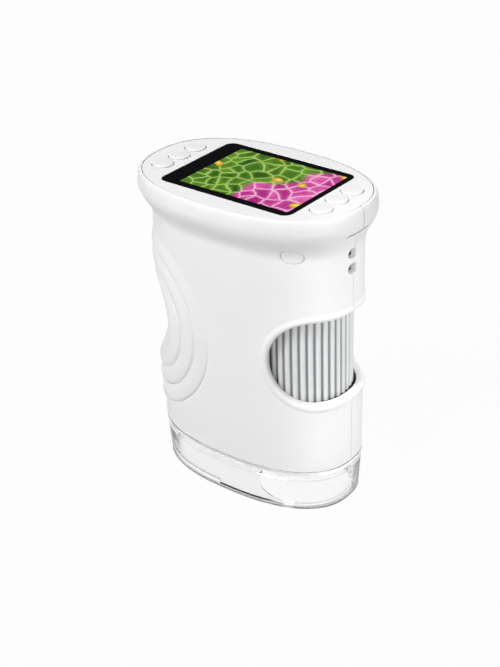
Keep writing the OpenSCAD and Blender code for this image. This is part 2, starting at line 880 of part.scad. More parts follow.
module optics_tube() {
    slot_w = pin_d + run_gap;
    slot_len = focus_travel + pin_d + 2 * groove_gap;
    color("dimgray")
    difference() {
        union() {
            axis_disc(tube_r, tube_foot_z, mount_z);
            axis_disc(lamp_board_r, tube_foot_z, tube_foot_z + 1.5);
            axis_disc(plate_d / 2, lower_plate_z, lower_plate_z + plate_t);
        }
        axis_disc(tube_in_r, tube_foot_z - 1, mount_z + 1);
        translate([axis_x - slot_w / 2, -tube_r - 1, focus_z - slot_len / 2])
            cube([slot_w, 2 * tube_r + 2, slot_len]);
    }
}

module focus_drum() {
    color("lightgray")
    difference() {
        translate([axis_x, 0, drum_z])
            linear_extrude(drum_h)
                difference() {
                    circle(r = drum_r, $fn = 180);
                    for (i = [0:drum_ribs - 1])
                        rotate(360 * (i + 0.5) / drum_ribs)
                            translate([drum_r + groove_r * 0.1, 0])
                                circle(r = groove_r, $fn = 24);
                }
        axis_disc(cam_r + run_gap / 2, drum_z - 1, drum_z + drum_h + 1);
        difference() {
            axis_disc(drum_r - drum_wall, drum_z - 1, drum_z + drum_h - cam_end);
            axis_disc(cam_r + hub_t, drum_z - 2, drum_z + drum_h);
        }
    }
}

// Helical groove inside the cam ring, centred on one pin
module cam_groove(start) {
    span = focus_turn + 2 * groove_ends;
    inner = cam_in_r - 1;
    outer = cam_r - cam_floor;
    loft([
        for (i = [0:cam_steps])
            let (turn = mix(-span / 2, span / 2, i / cam_steps))
            let (z = focus_z - turn * focus_travel / focus_turn, c = cos(start + turn), s = sin(start + turn))
            [for (q = [[inner, 1], [outer, 1], [outer, -1], [inner, -1]])
                [axis_x + q[0] * c, q[0] * s, z + q[1] * groove_half]]
    ]);
}

module cam_ring() {
    color("gray")
    difference() {
        axis_disc(cam_r, cam_z, cam_z + cam_len);
        axis_disc(cam_in_r, cam_z - 1, cam_z + cam_len + 1);
        for (start = [90, 270])
            cam_groove(start);
    }
}

// Seats in the barrel
front_seat_r = barrel_r - 1.2;
front_seat_h = 4;
rear_seat_r = barrel_r - 1.8;
rear_seat_h = 3;
bore_r = barrel_r - 2.6;
retainer_h = 1.4;

module lens_barrel() {
    color("dimgray")
    difference() {
        axis_disc(barrel_r, barrel_z, barrel_z + barrel_len);
        axis_disc(bore_r, barrel_z - 1, barrel_z + barrel_len + 1);
        axis_disc(front_seat_r, barrel_z - 1, barrel_z + front_seat_h);
        axis_disc(rear_seat_r, barrel_z + barrel_len - rear_seat_h, barrel_z + barrel_len + 1);
        translate([axis_x, 0, focus_z])
            y_bar(pin_d / 2 + run_gap / 4, -far, far);
    }
}

module follower_pins() {
    color("silver")
    for (s = [0, 180])
        translate([axis_x, 0, focus_z])
            rotate(s)
                y_bar(pin_d / 2, bore_r + 0.4, pin_reach);
}

module lens_elements() {
    lens_r = front_seat_r - run_gap;
    front_z = barrel_z + retainer_h + air;
    front_t = front_seat_h - retainer_h - air;
    rear_z = barrel_z + barrel_len - rear_seat_h;
    ball = lens_r * 2.2;
    color("aliceblue") {
        intersection() {
            axis_disc(lens_r, front_z, front_z + front_t);
            translate([axis_x, 0, front_z + ball])
                sphere(r = ball, $fn = 96);
        }
        intersection() {
            axis_disc(rear_seat_r - run_gap, rear_z, rear_z + rear_seat_h - 0.4);
            translate([axis_x, 0, rear_z + rear_seat_h - 0.4 - ball])
                sphere(r = ball, $fn = 96);
        }
    }
}

module lens_retainer() {
    color("black")
    difference() {
        axis_disc(front_seat_r - run_gap, barrel_z, barrel_z + retainer_h);
        axis_disc(bore_r, barrel_z - 1, barrel_z + retainer_h + 1);
    }
}

// Opening in the mount around the sensor
sensor_hole = 9;
// Sizes of the ribbon, its inset on the sensor board and its sideways step
ribbon_w = 8;
ribbon_t = 0.3;
ribbon_in = 1;
ribbon_step = 4;

module sensor_mount() {
    color("dimgray")
    difference() {
        axis_disc(plate_d / 2, mount_z, mount_top);
        translate([axis_x - sensor_hole / 2, -sensor_hole / 2, mount_z - 1])
            cube([sensor_hole, sensor_hole, plate_t + 2]);
    }
}

module sensor_board() {
    color("green")
    translate([axis_x - sensor_side / 2, -sensor_side / 2, mount_top])
        cube([sensor_side, sensor_side, small_board_t]);
}

module image_sensor() {
    chip = sensor_hole - 2;
    chip_h = 1;
    color("black")
    translate([axis_x - chip / 2, -chip / 2, mount_top - chip_h])
        cube([chip, chip, chip_h]);
}

// Flat ribbon from the sensor board up to the main board
module sensor_ribbon() {
    z0 = mount_top + small_board_t;
    x0 = axis_x - sensor_side / 2 + ribbon_in;
    path = [[x0 + ribbon_step, z0], [x0, z0], [x0, mix(z0, board_z, 0.4)],
            [x0 - ribbon_step, mix(z0, board_z, 0.6)], [x0 - ribbon_step, board_z]];
    color("peru")
    translate([0, ribbon_w / 2, 0])
        rotate([90, 0, 0])
            linear_extrude(ribbon_w)
                polygon([
                    path[0], path[1], path[2], path[3], path[4],
                    path[4] + [ribbon_t, 0], path[3] + [ribbon_t, 0], path[2] + [ribbon_t, 0],
                    path[1] + [ribbon_t, ribbon_t], path[0] + [0, ribbon_t]
                ]);
}

module lamp_board() {
    color("white")
    difference() {
        axis_disc(lamp_board_r, lamp_board_z, lamp_board_z + small_board_t);
        axis_disc(tube_in_r - 2, lamp_board_z - 1, lamp_board_z + small_board_t + 1);
    }
}

module lamps() {
    color("lightyellow")
    for (i = [0:lamp_count - 1])
        translate([axis_x, 0, lamp_board_z - lamp_h])
            rotate(360 * i / lamp_count)
                translate([lamp_ring_r, -lamp_side / 2, 0])
                    cube([lamp_side, lamp_side, lamp_h]);
}

module light_window() {
    color("aliceblue")
    axis_disc(light_d / 2, cover_z, cover_z + light_t);
}

module bottom_cover() {
    inset = pocket_inset + air;
    color("white")
    difference() {
        oval_plate(body_a(stand_h) - inset, body_b(stand_h) - inset, cover_z, cover_top);
        axis_disc(light_d / 2 + air / 2, cover_z - 1, cover_z + light_t);
        axis_disc(light_d / 2 - light_seat, cover_z - 2, cover_top + 1);
        for (p = cover_places)
            translate([p.x, p.y, cover_z - 1]) {
                cylinder(r = cover_screw_r + air, h = cover_t + 2);
                cylinder(r = cover_head_r + air, h = cover_head_h + 1);
            }
    }
}

module shell_screws() {
    color("silver")
    for (s = [-1, 1])
        translate([s * plug_x, 0, plug_z]) {
            y_bar(seam_head_r, -head_seat_y - seam_head_h, -head_seat_y);
            y_bar(seam_screw_r, -head_seat_y - eps, seam_screw_end);
        }
}

module cover_screws() {
    color("silver")
    for (p = cover_places)
        translate([p.x, p.y, cover_z]) {
            cylinder(r = cover_head_r, h = cover_head_h);
            cylinder(r = cover_screw_r, h = cover_screw_len);
        }
}

// Oval plugs, shaped to the housing's surface
module screw_plugs() {
    skin = 0.05;
    color("white")
    intersection() {
        for (s = [-1, 1])
            translate([s * plug_x, 0, plug_z])
                oval_peg(plug_len - 2 * plug_gap, plug_h - 2 * plug_gap, -far, -plug_seat_y);
        under_skin(plug_h / 2, skin);
    }
}

module clear_stand() {
    low_a = stand_len / 2;
    low_b = stand_wid / 2;
    top_a = housing_len_low / 2;
    top_b = housing_wid_low / 2;
    top = stand_h - air;
    color("lightcyan", 0.4)
    difference() {
        loft([ring(low_a, low_b, 0), ring(top_a, top_b, top)]);
        loft([
            ring(low_a - stand_wall, low_b - stand_wall, stand_floor),
            ring(top_a - stand_wall, top_b - stand_wall, spigot_z - 3 * stand_gap),
            ring(top_a - stand_wall, top_b - stand_wall, top + eps)
        ]);
        axis_disc(view_d / 2, -1, stand_floor + 1);
        translate([-far - slide_slot_x, -far, stand_floor])
            cube([far, 2 * far, slide_slot_h]);
    }
}

front_shell();
rear_shell();
top_panel();
screen_window();
display();
main_board();
button_switches();
button(0);  // button_left_1
button(1);  // button_left_2
button(2);  // button_left_3
button(3);  // button_right_1
button(4);  // button_right_2
button(5);  // button_right_3
board_screws();
card_socket();
charging_port();
battery();
inner_frame();
optics_tube();
focus_drum();
cam_ring();
lens_barrel();
follower_pins();
lens_elements();
lens_retainer();
sensor_mount();
sensor_board();
image_sensor();
sensor_ribbon();
lamp_board();
lamps();
light_window();
bottom_cover();
shell_screws();
cover_screws();
screw_plugs();
clear_stand();
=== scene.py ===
"""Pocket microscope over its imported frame. Shapes are worked in millimetres and set down in metres."""
import math

import bmesh
import bpy
import numpy as np
from mathutils import Matrix, Vector


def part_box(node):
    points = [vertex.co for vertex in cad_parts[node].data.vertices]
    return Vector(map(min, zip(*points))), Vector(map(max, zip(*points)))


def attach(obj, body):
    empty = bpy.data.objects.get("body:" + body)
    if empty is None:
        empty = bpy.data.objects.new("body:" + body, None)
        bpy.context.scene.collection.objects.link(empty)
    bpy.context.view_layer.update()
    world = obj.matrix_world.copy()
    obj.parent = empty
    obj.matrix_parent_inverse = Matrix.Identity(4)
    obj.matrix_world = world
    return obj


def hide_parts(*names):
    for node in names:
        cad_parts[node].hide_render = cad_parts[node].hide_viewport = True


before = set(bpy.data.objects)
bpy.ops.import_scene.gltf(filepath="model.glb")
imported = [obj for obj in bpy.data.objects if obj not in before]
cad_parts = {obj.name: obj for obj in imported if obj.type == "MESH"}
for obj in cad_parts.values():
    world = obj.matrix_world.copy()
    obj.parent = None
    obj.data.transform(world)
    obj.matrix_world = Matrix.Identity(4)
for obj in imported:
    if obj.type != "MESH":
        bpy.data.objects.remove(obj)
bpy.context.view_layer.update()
MM = 0.001


def mm_box(node):
    """Lowest and highest corner of a node in millimetres."""
    low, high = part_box(node)
    return np.array(low) / MM, np.array(high) / MM


# Sizes read from the frame
SHELL_LOW, SHELL_HIGH = mm_box("front_shell")
STAND_HIGH = mm_box("clear_stand")[1]
PANEL_HIGH = mm_box("top_panel")[1]
GLASS_LOW, GLASS_HIGH = mm_box("screen_window")
DRUM_LOW, DRUM_HIGH = mm_box("focus_drum")
CAM_HIGH = mm_box("cam_ring")[1]
AXIS_X = (DRUM_LOW[0] + DRUM_HIGH[0]) / 2

# The housing's plain form
COLLAR_A, COLLAR_B = SHELL_HIGH[0], -SHELL_LOW[1]
BODY_A_LOW, BODY_B_LOW = STAND_HIGH[0], STAND_HIGH[1]
BODY_A_TOP, BODY_B_TOP = 36.6, 21.35
TOP = SHELL_HIGH[2]
FOOT_GAP = 0.1
FOOT = STAND_HIGH[2] + FOOT_GAP
SPIGOT_LOW = SHELL_LOW[2]
COLLAR_START = TOP - 15.0
COLLAR_WIDE = TOP - 4.0
COLLAR_ROUND = 1.2
OVAL_POWER = 2.4
WALL = 2.0
SEAM_ZS, SEAM_GAPS = (86.0, 96.0), (0.24, 0.42)
SEAM_BREAK = 0.16
SHEET_STEP = 0.8

# Thumb grip: three layers, each rolled up from a crease and falling to the next
GRIP_Z = 54.0
RIPPLES = (32.0, 26.0, 20.0)
RIPPLE_STEP = 6.0
HIGH_FEET, LOW_FEET = (0.0, 0.30, 0.45), (0.0, 0.06, 0.12)
RIPPLE_CRESTS = (0.85, 1.0, 1.0)
RIPPLE_ROLLS = (3.8, 3.6, 3.4)
OUTER_ROLL_LEAN = 0.9
CREASE_DEEP, CREASE_WIDE, CREASE_IN = 0.46, 0.34, 0.05
FEET_RISE, FEET_SPAN = 18.0, 32.0
ROLL_POWER = 0.62
OUTER_SOFT, INNER_SOFT, INNER_RATE = 0.75, 0.8, 1.6
HOLLOW_Z, HOLLOW_DEPTH, HOLLOW_POWER = 52.5, 3.0, 1.4
HOLLOW_R, HOLLOW_LOW, HOLLOW_HIGH = 16.0, 15.0, 21.5

# Finger window
WINDOW_REACH, WINDOW_Z, WINDOW_R = 18.4, 54.7, 14.8
RIM_TOP, RIM_CREST, RIM_FOOT = 0.5, 1.1, 2.4
RIM_EDGE, RIM_DROP, RIM_POWER = -0.2, 1.3, 0.6

# Small openings
PLUG_X, PLUG_Z, PLUG_LEN, PLUG_H = 26.2, 91.8, 6.4, 5.0
EDGE_BREAK, PLUG_BREAK = 0.18, 0.07
STRAP_ZS, STRAP_W, STRAP_H, STRAP_OVER = (89.4, 84.3), 5.2, 3.2, 1.4
CARD_Z, CARD_W, CARD_H = 97.3, 12.6, 1.0
PORT_Z, PORT_W, PORT_H = 95.8, 9.4, 3.6


def half_sizes(z):
    """Half length and half width of the housing at heights z, before the top edge tucks in."""
    share = (np.minimum(z, COLLAR_START) - FOOT) / (COLLAR_START - FOOT)
    lift = np.clip((z - COLLAR_START) / (COLLAR_WIDE - COLLAR_START), 0, 1)
    swell = (1 - np.cos(math.pi * lift)) / 2
    a = BODY_A_LOW + (BODY_A_TOP - BODY_A_LOW) * share + swell * (COLLAR_A - BODY_A_TOP)
    b = BODY_B_LOW + (BODY_B_TOP - BODY_B_LOW) * share + swell * (COLLAR_B - BODY_B_TOP)
    return a, b


GRIP_X = -float(half_sizes(GRIP_Z)[0])
WINDOW_X = float(half_sizes(WINDOW_Z)[0]) - WINDOW_REACH + WINDOW_R


def oval(t, a, b):
    """Points of the near half of the squared oval, from the drum end round to the grip end."""
    c, s = np.cos(t), np.sin(t)
    e = 2 / OVAL_POWER
    return a * np.sign(c) * np.abs(c) ** e, -b * np.abs(s) ** e


# Lengths along the half outline, measured at mid height
MID_Z = 55.0
TURN = np.linspace(0, math.pi, 6001)
MID_X, MID_Y = oval(TURN, *half_sizes(np.array(MID_Z)))
ARC = np.concatenate([[0], np.cumsum(np.hypot(np.diff(MID_X), np.diff(MID_Y)))])
HALF_ROUND = ARC[-1]


def profile(corners, start):
    """Table of path length, inset and height along corners of (inset, height)."""
    path = np.array(corners)
    run = np.concatenate([[0], np.cumsum(np.hypot(*np.diff(path, axis=0).T))])
    return start + run, path[:, 0], path[:, 1]


# Outer path: under the foot, up the side, over the tucked edge and down inside the lip
FOOT_ROUND = 0.3
SPIGOT_IN, SPIGOT_BREAK = 1.8, 0.2
LIP_IN = 1.5
LIP_ROUND = 0.12
LEDGE_Z = TOP - 2.0
ROUND_TURNS = np.radians(np.linspace(0, 90, 7))
TUCK_TURNS = np.radians([0, 18, 34, 48, 58, 66, 73, 79, 84, 88, 90])
foot_path = [(SPIGOT_IN + SPIGOT_BREAK, SPIGOT_LOW), (SPIGOT_IN, SPIGOT_LOW + SPIGOT_BREAK)]
foot_path += [(SPIGOT_IN, FOOT)]
foot_path += [(FOOT_ROUND * (1 - math.sin(q)), FOOT + FOOT_ROUND * (1 - math.cos(q))) for q in ROUND_TURNS]
FOOT_V, FOOT_INSET, FOOT_Z = profile(foot_path, 0)
FOOT_V = FOOT_V - FOOT_V[-1] + FOOT + FOOT_ROUND
lip_path = [(COLLAR_ROUND * (1 - math.cos(q)), COLLAR_WIDE + (TOP - COLLAR_WIDE) * math.sin(q))
            for q in TUCK_TURNS]
lip_path += [(LIP_IN - LIP_ROUND * math.cos(q), TOP - LIP_ROUND * (1 - math.sin(q)))
             for q in np.radians([90, 60, 30, 0])]
lip_path += [(LIP_IN, LEDGE_Z)]
LIP_V, LIP_INSET, LIP_Z = profile(lip_path, COLLAR_WIDE)
OUT_V = np.concatenate([FOOT_V, LIP_V])
OUT_INSET = np.concatenate([FOOT_INSET, LIP_INSET])
OUT_Z = np.concatenate([FOOT_Z, LIP_Z])
V_LOW, V_HIGH = OUT_V[0], OUT_V[-1]
# Inner path at the same lengths: up inside the spigot, out to the wall and in again to the ledge
SPIGOT_INSET, NECK_INSET, LEDGE_INSET = 3.2, 2.6, 3.3
STEP_LOW, STEP_HIGH = 17.0, 17.4
NECK_LOW, NECK_V, NECK_HIGH = 100.6, 104.0, 102.0
IN_V = np.array([V_LOW, STEP_LOW, STEP_HIGH, NECK_LOW, NECK_V, V_HIGH])
IN_INSET = np.array([SPIGOT_INSET, SPIGOT_INSET, WALL, WALL, NECK_INSET, LEDGE_INSET])
IN_Z = np.array([SPIGOT_LOW, STEP_LOW, STEP_HIGH, NECK_LOW, NECK_HIGH, LEDGE_Z])


def side_point(s, v):
    """Point of the plain side at length s round the outline and path length v."""
    z = np.interp(v, OUT_V, OUT_Z)
    x, y = oval(np.interp(s, ARC, TURN), *half_sizes(z))
    return x, y, z


def stadium(u, w, length, height):
    """Distance from the edge of a round-ended slot."""
    return np.hypot(np.maximum(np.abs(u) - (length - height) / 2, 0), w) - height / 2


# Distances on the side from the edges of what is moulded into it, and one for the end without that edge
OTHER_END = 9.0


def grip_reach(s, v):
    x, y, z = side_point(s, v)
    return np.hypot(x - GRIP_X, z - GRIP_Z)


def window_edge(s, v):
    x, y, z = side_point(s, v)
    return np.hypot(np.minimum(x - WINDOW_X, 0), z - WINDOW_Z) - WINDOW_R


def plug_edge(s, v, side):
    x, y, z = side_point(s, v)
    return stadium(x - side * PLUG_X, z - PLUG_Z, PLUG_LEN, PLUG_H)


def end_slot(s, v, side, height_z, width, height):
    x, y, z = side_point(s, v)
    return np.where(x * side > 0, stadium(y, z - height_z, width, height), OTHER_END)


def end_notch(s, v, height_z, width, height):
    x, y, z = side_point(s, v)
    return np.where(x > 0, np.maximum(np.abs(y) - width / 2, np.abs(z - height_z) - height / 2), OTHER_END)


def card_edge(s, v):
    return end_notch(s, v, CARD_Z, CARD_W, CARD_H)


def hollow(x, z):
    """Share of the thumb hollow's depth."""
    tall = np.where(z > HOLLOW_Z, HOLLOW_HIGH, HOLLOW_LOW)
    return np.maximum(0, 1 - ((x - GRIP_X) / HOLLOW_R) ** 2 - ((z - HOLLOW_Z) / tall) ** 2) ** HOLLOW_POWER


def smooth_share(t):
    """A share from nought to one, eased at both ends."""
    t = np.clip(t, 0, 1)
    return t * t * (3 - 2 * t)


def grip_relief(s, v):
    """Height of the ripples over the plain side."""
    x, y, z = side_point(s, v)
    d = np.hypot(x - GRIP_X, z - GRIP_Z)
    h = np.zeros_like(d)
    low = np.clip((GRIP_Z + FEET_RISE - z) / FEET_SPAN, 0, 1)
    feet = [a + (b - a) * low for a, b in zip(HIGH_FEET, LOW_FEET)]
    for k, radius in enumerate(RIPPLES):
        outermost, innermost = k == 0, k == len(RIPPLES) - 1
        inside = radius - d
        lean = (z - GRIP_Z) / radius
        wide = RIPPLE_ROLLS[k] + (OUTER_ROLL_LEAN * lean if outermost else 0)
        climb = np.clip(inside / wide, 0, 1)
        crisp = np.sin(math.pi / 2 * climb) ** ROLL_POWER
        if outermost:
            soft = np.clip(OUTER_SOFT + lean, 0, 1)
        else:
            soft = INNER_SOFT * smooth_share(INNER_RATE * lean)
        climb = crisp + (smooth_share(climb) - crisp) * soft
        band = feet[k] + (RIPPLE_CRESTS[k] - feet[k]) * climb
        if innermost:
            band = band - (HOLLOW_DEPTH + RIPPLE_CRESTS[k]) * hollow(x, z)
        else:
            fall = np.clip((inside - wide) / (RIPPLE_STEP - wide), 0, 1)
            band = band - (RIPPLE_CRESTS[k] - feet[k + 1]) * fall ** 2
        crease = CREASE_DEEP * (1 - soft) * np.exp(-((inside - CREASE_IN) / CREASE_WIDE) ** 2)
        h = np.where(inside > 0, band, h) - crease
    return h


def rim_relief(s, v):
    """Height of the rolled rim over the plain side."""
    d = window_edge(s, v)
    z = side_point(s, v)[2]
    down = np.clip((d - RIM_CREST) / (RIM_FOOT - RIM_CREST), 0, 1)
    crisp = (1 - down ** 2) ** RIM_POWER
    soft = np.clip((z - WINDOW_Z) / WINDOW_R, 0, 1)
    slope = RIM_TOP * (crisp + (1 - smooth_share(down) - crisp) * soft)
    over = np.clip((RIM_CREST - d) / (RIM_CREST - RIM_EDGE), 0, 1)
    return np.where(d > RIM_CREST, slope, RIM_TOP - RIM_DROP * (1 - np.sqrt(1 - over ** 2)))


def seam_side(y, z):
    """Places across, kept on their own side of the seam's gap."""
    return np.minimum(y, -np.interp(z, SEAM_ZS, SEAM_GAPS) / 2)


def wrap_outer(s, v, breaks):
    """Outer skin of a half shell, with the edges of its openings broken."""
    z = side_point(s, v)[2]
    h = grip_relief(s, v) + rim_relief(s, v) - np.interp(v, OUT_V, OUT_INSET)
    h -= SEAM_BREAK * np.clip(1 - np.minimum(s, HALF_ROUND - s) / SEAM_BREAK, 0, 1)
    for edge, wide in breaks:
        h -= wide * np.clip(1 - edge(s, v) / wide, 0, 1)
    a, b = half_sizes(z)
    x, y = oval(np.interp(s, ARC, TURN), a + h, b + h)
    return x, seam_side(y, z), z


def wrap_inner(s, v):
    """Inner skin of a half shell."""
    x = side_point(s, v)[0]
    z = np.interp(v, IN_V, IN_Z)
    inset = np.interp(v, IN_V, IN_INSET) + HOLLOW_DEPTH * hollow(x, z)
    a, b = half_sizes(z)
    x, y = oval(np.interp(s, ARC, TURN), a - inset, b - inset)
    return x, seam_side(y, z), z


# Tools for working a flat sheet before it is wrapped
RULE_NEAR, SLOPE_STEP, SLOPE_LEAST = 0.004, 0.01, 1e-9


def flat_sheet(s0, s1, v0, v1, step):
    """A grid over lengths s and heights v, with a layer for the points that lie on scored lines."""
    bm = bmesh.new()
    across, up = round((s1 - s0) / step), round((v1 - v0) / step)
    bmesh.ops.create_grid(bm, x_segments=across, y_segments=up, size=1)
    reach = max(v.co.x for v in bm.verts)
    bmesh.ops.scale(bm, vec=((s1 - s0) / 2 / reach, (v1 - v0) / 2 / reach, 1), verts=bm.verts)
    bmesh.ops.translate(bm, vec=((s0 + s1) / 2, (v0 + v1) / 2, 0), verts=bm.verts)
    bm.verts.layers.int.new("scored")
    return bm


def flat_places(bm):
    """Lengths s and heights v of the sheet's points."""
    places = np.array([v.co[:2] for v in bm.verts])
    return places[:, 0], places[:, 1]


def rule(bm, point, across):
    """Cuts a straight line through the sheet at a length s or at a height v."""
    co, no = ((point, 0, 0), (1, 0, 0)) if across else ((0, point, 0), (0, 1, 0))
    sheet = bm.verts[:] + bm.edges[:] + bm.faces[:]
    bmesh.ops.bisect_plane(bm, geom=sheet, dist=RULE_NEAR, plane_co=co, plane_no=no)


def score(bm, field, reach):
    """Cuts the sheet along the line where a field is zero, and pulls close points on to it."""
    layer = bm.verts.layers.int["scored"]
    bm.verts.ensure_lookup_table()
    bm.verts.index_update()
    s, v = flat_places(bm)
    f = field(s, v)
    d = SLOPE_STEP
    gs = (field(s + d, v) - field(s - d, v)) / (2 * d)
    gv = (field(s, v + d) - field(s, v - d)) / (2 * d)
    g2 = gs ** 2 + gv ** 2 + SLOPE_LEAST
    line = []
    for i in np.nonzero(np.abs(f) < reach * np.sqrt(g2))[0]:
        vert = bm.verts[i]
        if vert[layer] or vert.is_boundary:
            continue
        vert.co.x -= f[i] * gs[i] / g2[i]
        vert.co.y -= f[i] * gv[i] / g2[i]
        f[i] = 0
        line.append(vert)
    for edge in bm.edges[:]:
        one, two = edge.verts
        fa, fb = f[one.index], f[two.index]
        if fa * fb < 0:
            line.append(bmesh.utils.edge_split(edge, one, fa / (fa - fb))[1])
    for vert in line:
        vert[layer] = 1
    bmesh.ops.connect_verts(bm, verts=line)


def face_outward(bm):
    """Turns every face of a closed mesh outwards."""
    bmesh.ops.recalc_face_normals(bm, faces=bm.faces[:])
    if bm.calc_volume(signed=True) < 0:
        bmesh.ops.reverse_faces(bm, faces=bm.faces[:])


def refine(bm, near):
    """Halves the edges of the sheet where a test of the places holds."""
    bm.verts.index_update()
    close = near(*flat_places(bm))
    edges = [e for e in bm.edges if close[e.verts[0].index] and close[e.verts[1].index]]
    bmesh.ops.subdivide_edges(bm, edges=edges, cuts=1, use_grid_fill=True)


def trim(bm, field):
    """Removes the faces of the sheet that lie inside a field."""
    centres = np.array([f.calc_center_median()[:2] for f in bm.faces])
    inside = field(centres[:, 0], centres[:, 1]) < 0
    bmesh.ops.delete(bm, geom=[f for f, gone in zip(bm.faces[:], inside) if gone], context="FACES")


def thicken(bm, outer, inner):
    """Gives the sheet its wall: the sheet is wrapped outside and its copy inside."""
    copy = bmesh.ops.extrude_face_region(bm, geom=bm.faces[:], use_keep_orig=True)["geom"]
    inside = [g for g in copy if isinstance(g, bmesh.types.BMVert)]
    known = set(inside)
    outside = [v for v in bm.verts if v not in known]
    for verts, wrap in ((outside, outer), (inside, inner)):
        places = np.array([v.co[:2] for v in verts])
        for vert, place in zip(verts, np.stack(wrap(places[:, 0], places[:, 1]), 1)):
            vert.co = Vector(place)
    face_outward(bm)


# Tools for pieces rolled from closed outlines or turned, whose sharper edges stay sharp
MERGE_NEAR = 1e-4
SHARP_FROM = math.radians(38)


def oval_outline(a, b, count):
    """Outline of a whole squared oval, grown outwards by an offset."""
    t = np.linspace(0, 2 * math.pi, count, endpoint=False)
    c, s = np.cos(t), np.sin(t)
    e = 2 / OVAL_POWER
    ux, uy = np.sign(c) * np.abs(c) ** e, np.sign(s) * np.abs(s) ** e
    return lambda offset: np.stack([(a + offset) * ux, (b + offset) * uy], 1)


def circle_outline(x, y, radius, count):
    """Outline of a circle, grown outwards by an offset."""
    t = np.linspace(0, 2 * math.pi, count, endpoint=False)
    return lambda offset: np.stack([x + (radius + offset) * np.cos(t), y + (radius + offset) * np.sin(t)], 1)


def corner_outline(low, high, corner, count):
    """Outline of a rectangle with round corners."""
    places = []
    for k, (x, y) in enumerate(((high[0], high[1]), (low[0], high[1]), (low[0], low[1]), (high[0], low[1]))):
        sx, sy = (1, -1, -1, 1)[k], (1, 1, -1, -1)[k]
        for q in np.radians(np.linspace(90 * k, 90 * k + 90, count)):
            places.append((x - sx * corner, y - sy * corner, math.cos(q), math.sin(q)))
    base = np.array(places)
    return lambda offset: base[:, :2] + (corner + offset) * base[:, 2:]


def roll(bm, outline, path):
    """Rolls an outline along a path of (offset, height) and gives its first and last loop of edges."""
    layer = bm.verts.layers.int.get("place") or bm.verts.layers.int.new("place")
    start = outline(path[0][0])
    verts = bmesh.ops.create_circle(bm, segments=len(start), radius=1)["verts"]
    edges = list({e for v in verts for e in v.link_edges})
    for i, vert in enumerate(verts):
        vert[layer] = i
        vert.co = (*start[i], path[0][1])
    first = edges
    for offset, height in path[1:]:
        made = bmesh.ops.extrude_edge_only(bm, edges=edges)["geom"]
        verts = [g for g in made if isinstance(g, bmesh.types.BMVert)]
        new = set(verts)
        edges = [g for g in made if isinstance(g, bmesh.types.BMEdge) and set(g.verts) <= new]
        ring = outline(offset)
        for vert in verts:
            vert.co = (*ring[vert[layer]], height)
    return first, edges


def cap(bm, edges):
    """Closes flat loops of edges, holes included, with faces that stay flat."""
    made = bmesh.ops.triangle_fill(bm, use_beauty=True, edges=edges)["geom"]
    for g in made:
        if isinstance(g, bmesh.types.BMFace):
            g.tag = True


def turned(points, x, y, steps):
    """A profile of (radius, height) spun round an upright axis."""
    bm = bmesh.new()
    verts = [bm.verts.new((r, 0, z)) for r, z in points]
    edges = [bm.edges.new(pair) for pair in zip(verts, verts[1:])]
    bmesh.ops.spin(bm, geom=verts + edges, cent=(0, 0, 0), axis=(0, 0, 1), angle=2 * math.pi, steps=steps,
                   use_merge=True)
    bmesh.ops.remove_doubles(bm, verts=bm.verts, dist=MERGE_NEAR)
    bmesh.ops.translate(bm, vec=(x, y, 0), verts=bm.verts)
    return bm


def round_path(offset0, z0, offset1, z1, steps=4, out_first=True):
    """Points of a quarter round between two places of a path."""
    points = []
    for q in np.linspace(0, math.pi / 2, steps + 1):
        u, w = (math.sin(q), 1 - math.cos(q)) if out_first else (1 - math.cos(q), math.sin(q))
        points.append((offset0 + (offset1 - offset0) * u, z0 + (z1 - z0) * w))
    return points


def piece(bm, name, body, nodes, finish):
    """Makes the object of a finished mesh, hangs it on the body it rides on and hides the nodes it stands
    for.
    """
    for face in bm.faces:
        face.smooth = not face.tag
    for edge in bm.edges:
        if len(edge.link_faces) == 2:
            edge.smooth = edge.calc_face_angle(0) < SHARP_FROM
    bmesh.ops.scale(bm, vec=(MM, MM, MM), verts=bm.verts)
    mesh = bpy.data.meshes.new(name)
    bm.to_mesh(mesh)
    bm.free()
    mesh.materials.append(finish)
    made = bpy.data.objects.new(name, mesh)
    bpy.context.scene.collection.objects.link(made)
    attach(made, body)
    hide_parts(*nodes)


# Finishes, with patches and grains per metre, their depth in metres and their range of roughness
PATCHES, GRAIN, GRAIN_DEEP, GRAIN_MATT = 60, 2600, 0.00001, 0.05
CLEAR_IOR, CLEAR_BODY = 1.49, (0.5, 0.51, 0.51)
CLEAR_GRAIN, CLEAR_MATT, CLEAR_WAVES, CLEAR_WAVES_DEEP = 900, 0.03, 120, 0.00002
# The groove grey is painted shade at the bottoms of the drum's grooves.
RIB_DARK, RIB_PALE, GROOVE_SHADE_GREY = (0.69, 0.698, 0.702), (0.735, 0.743, 0.747), (0.25, 0.26, 0.27)
# Painted shade, with its heights and depths in millimetres: on the panel's walls below its top, in the
# drum's grooves, and as a dark, rougher band round the stand's foot
SEAM_SHADE_GREY, SEAM_SHADE_FADE = (0.30, 0.30, 0.30), 0.08
GROOVE_SHADE_FULL, GROOVE_SHADE_END = 0.8, 0.2
FOOT_SHADE_GREY, FOOT_BAND_MATT, FOOT_BAND_FADE = (0.30, 0.31, 0.32), 0.22, 0.7
WALL_REACH = 0.86


def new_finish(name):
    """A new material, with its nodes, links and shader, and the places on its object."""
    mat = bpy.data.materials.new(name)
    mat.use_nodes = True
    nodes, links = mat.node_tree.nodes, mat.node_tree.links
    shader = nodes["Principled BSDF"]
    place = nodes.new("ShaderNodeTexCoord").outputs["Object"]
    return mat, nodes, links, shader, place


def noise_of(nodes, links, place, scale, detail=2.0, rough=0.5):
    """Noise of a given scale per metre."""
    node = nodes.new("ShaderNodeTexNoise")
    node.inputs["Scale"].default_value = scale
    node.inputs["Detail"].default_value = detail
    node.inputs["Roughness"].default_value = rough
    links.new(place, node.inputs["Vector"])
    return node.outputs["Fac"]


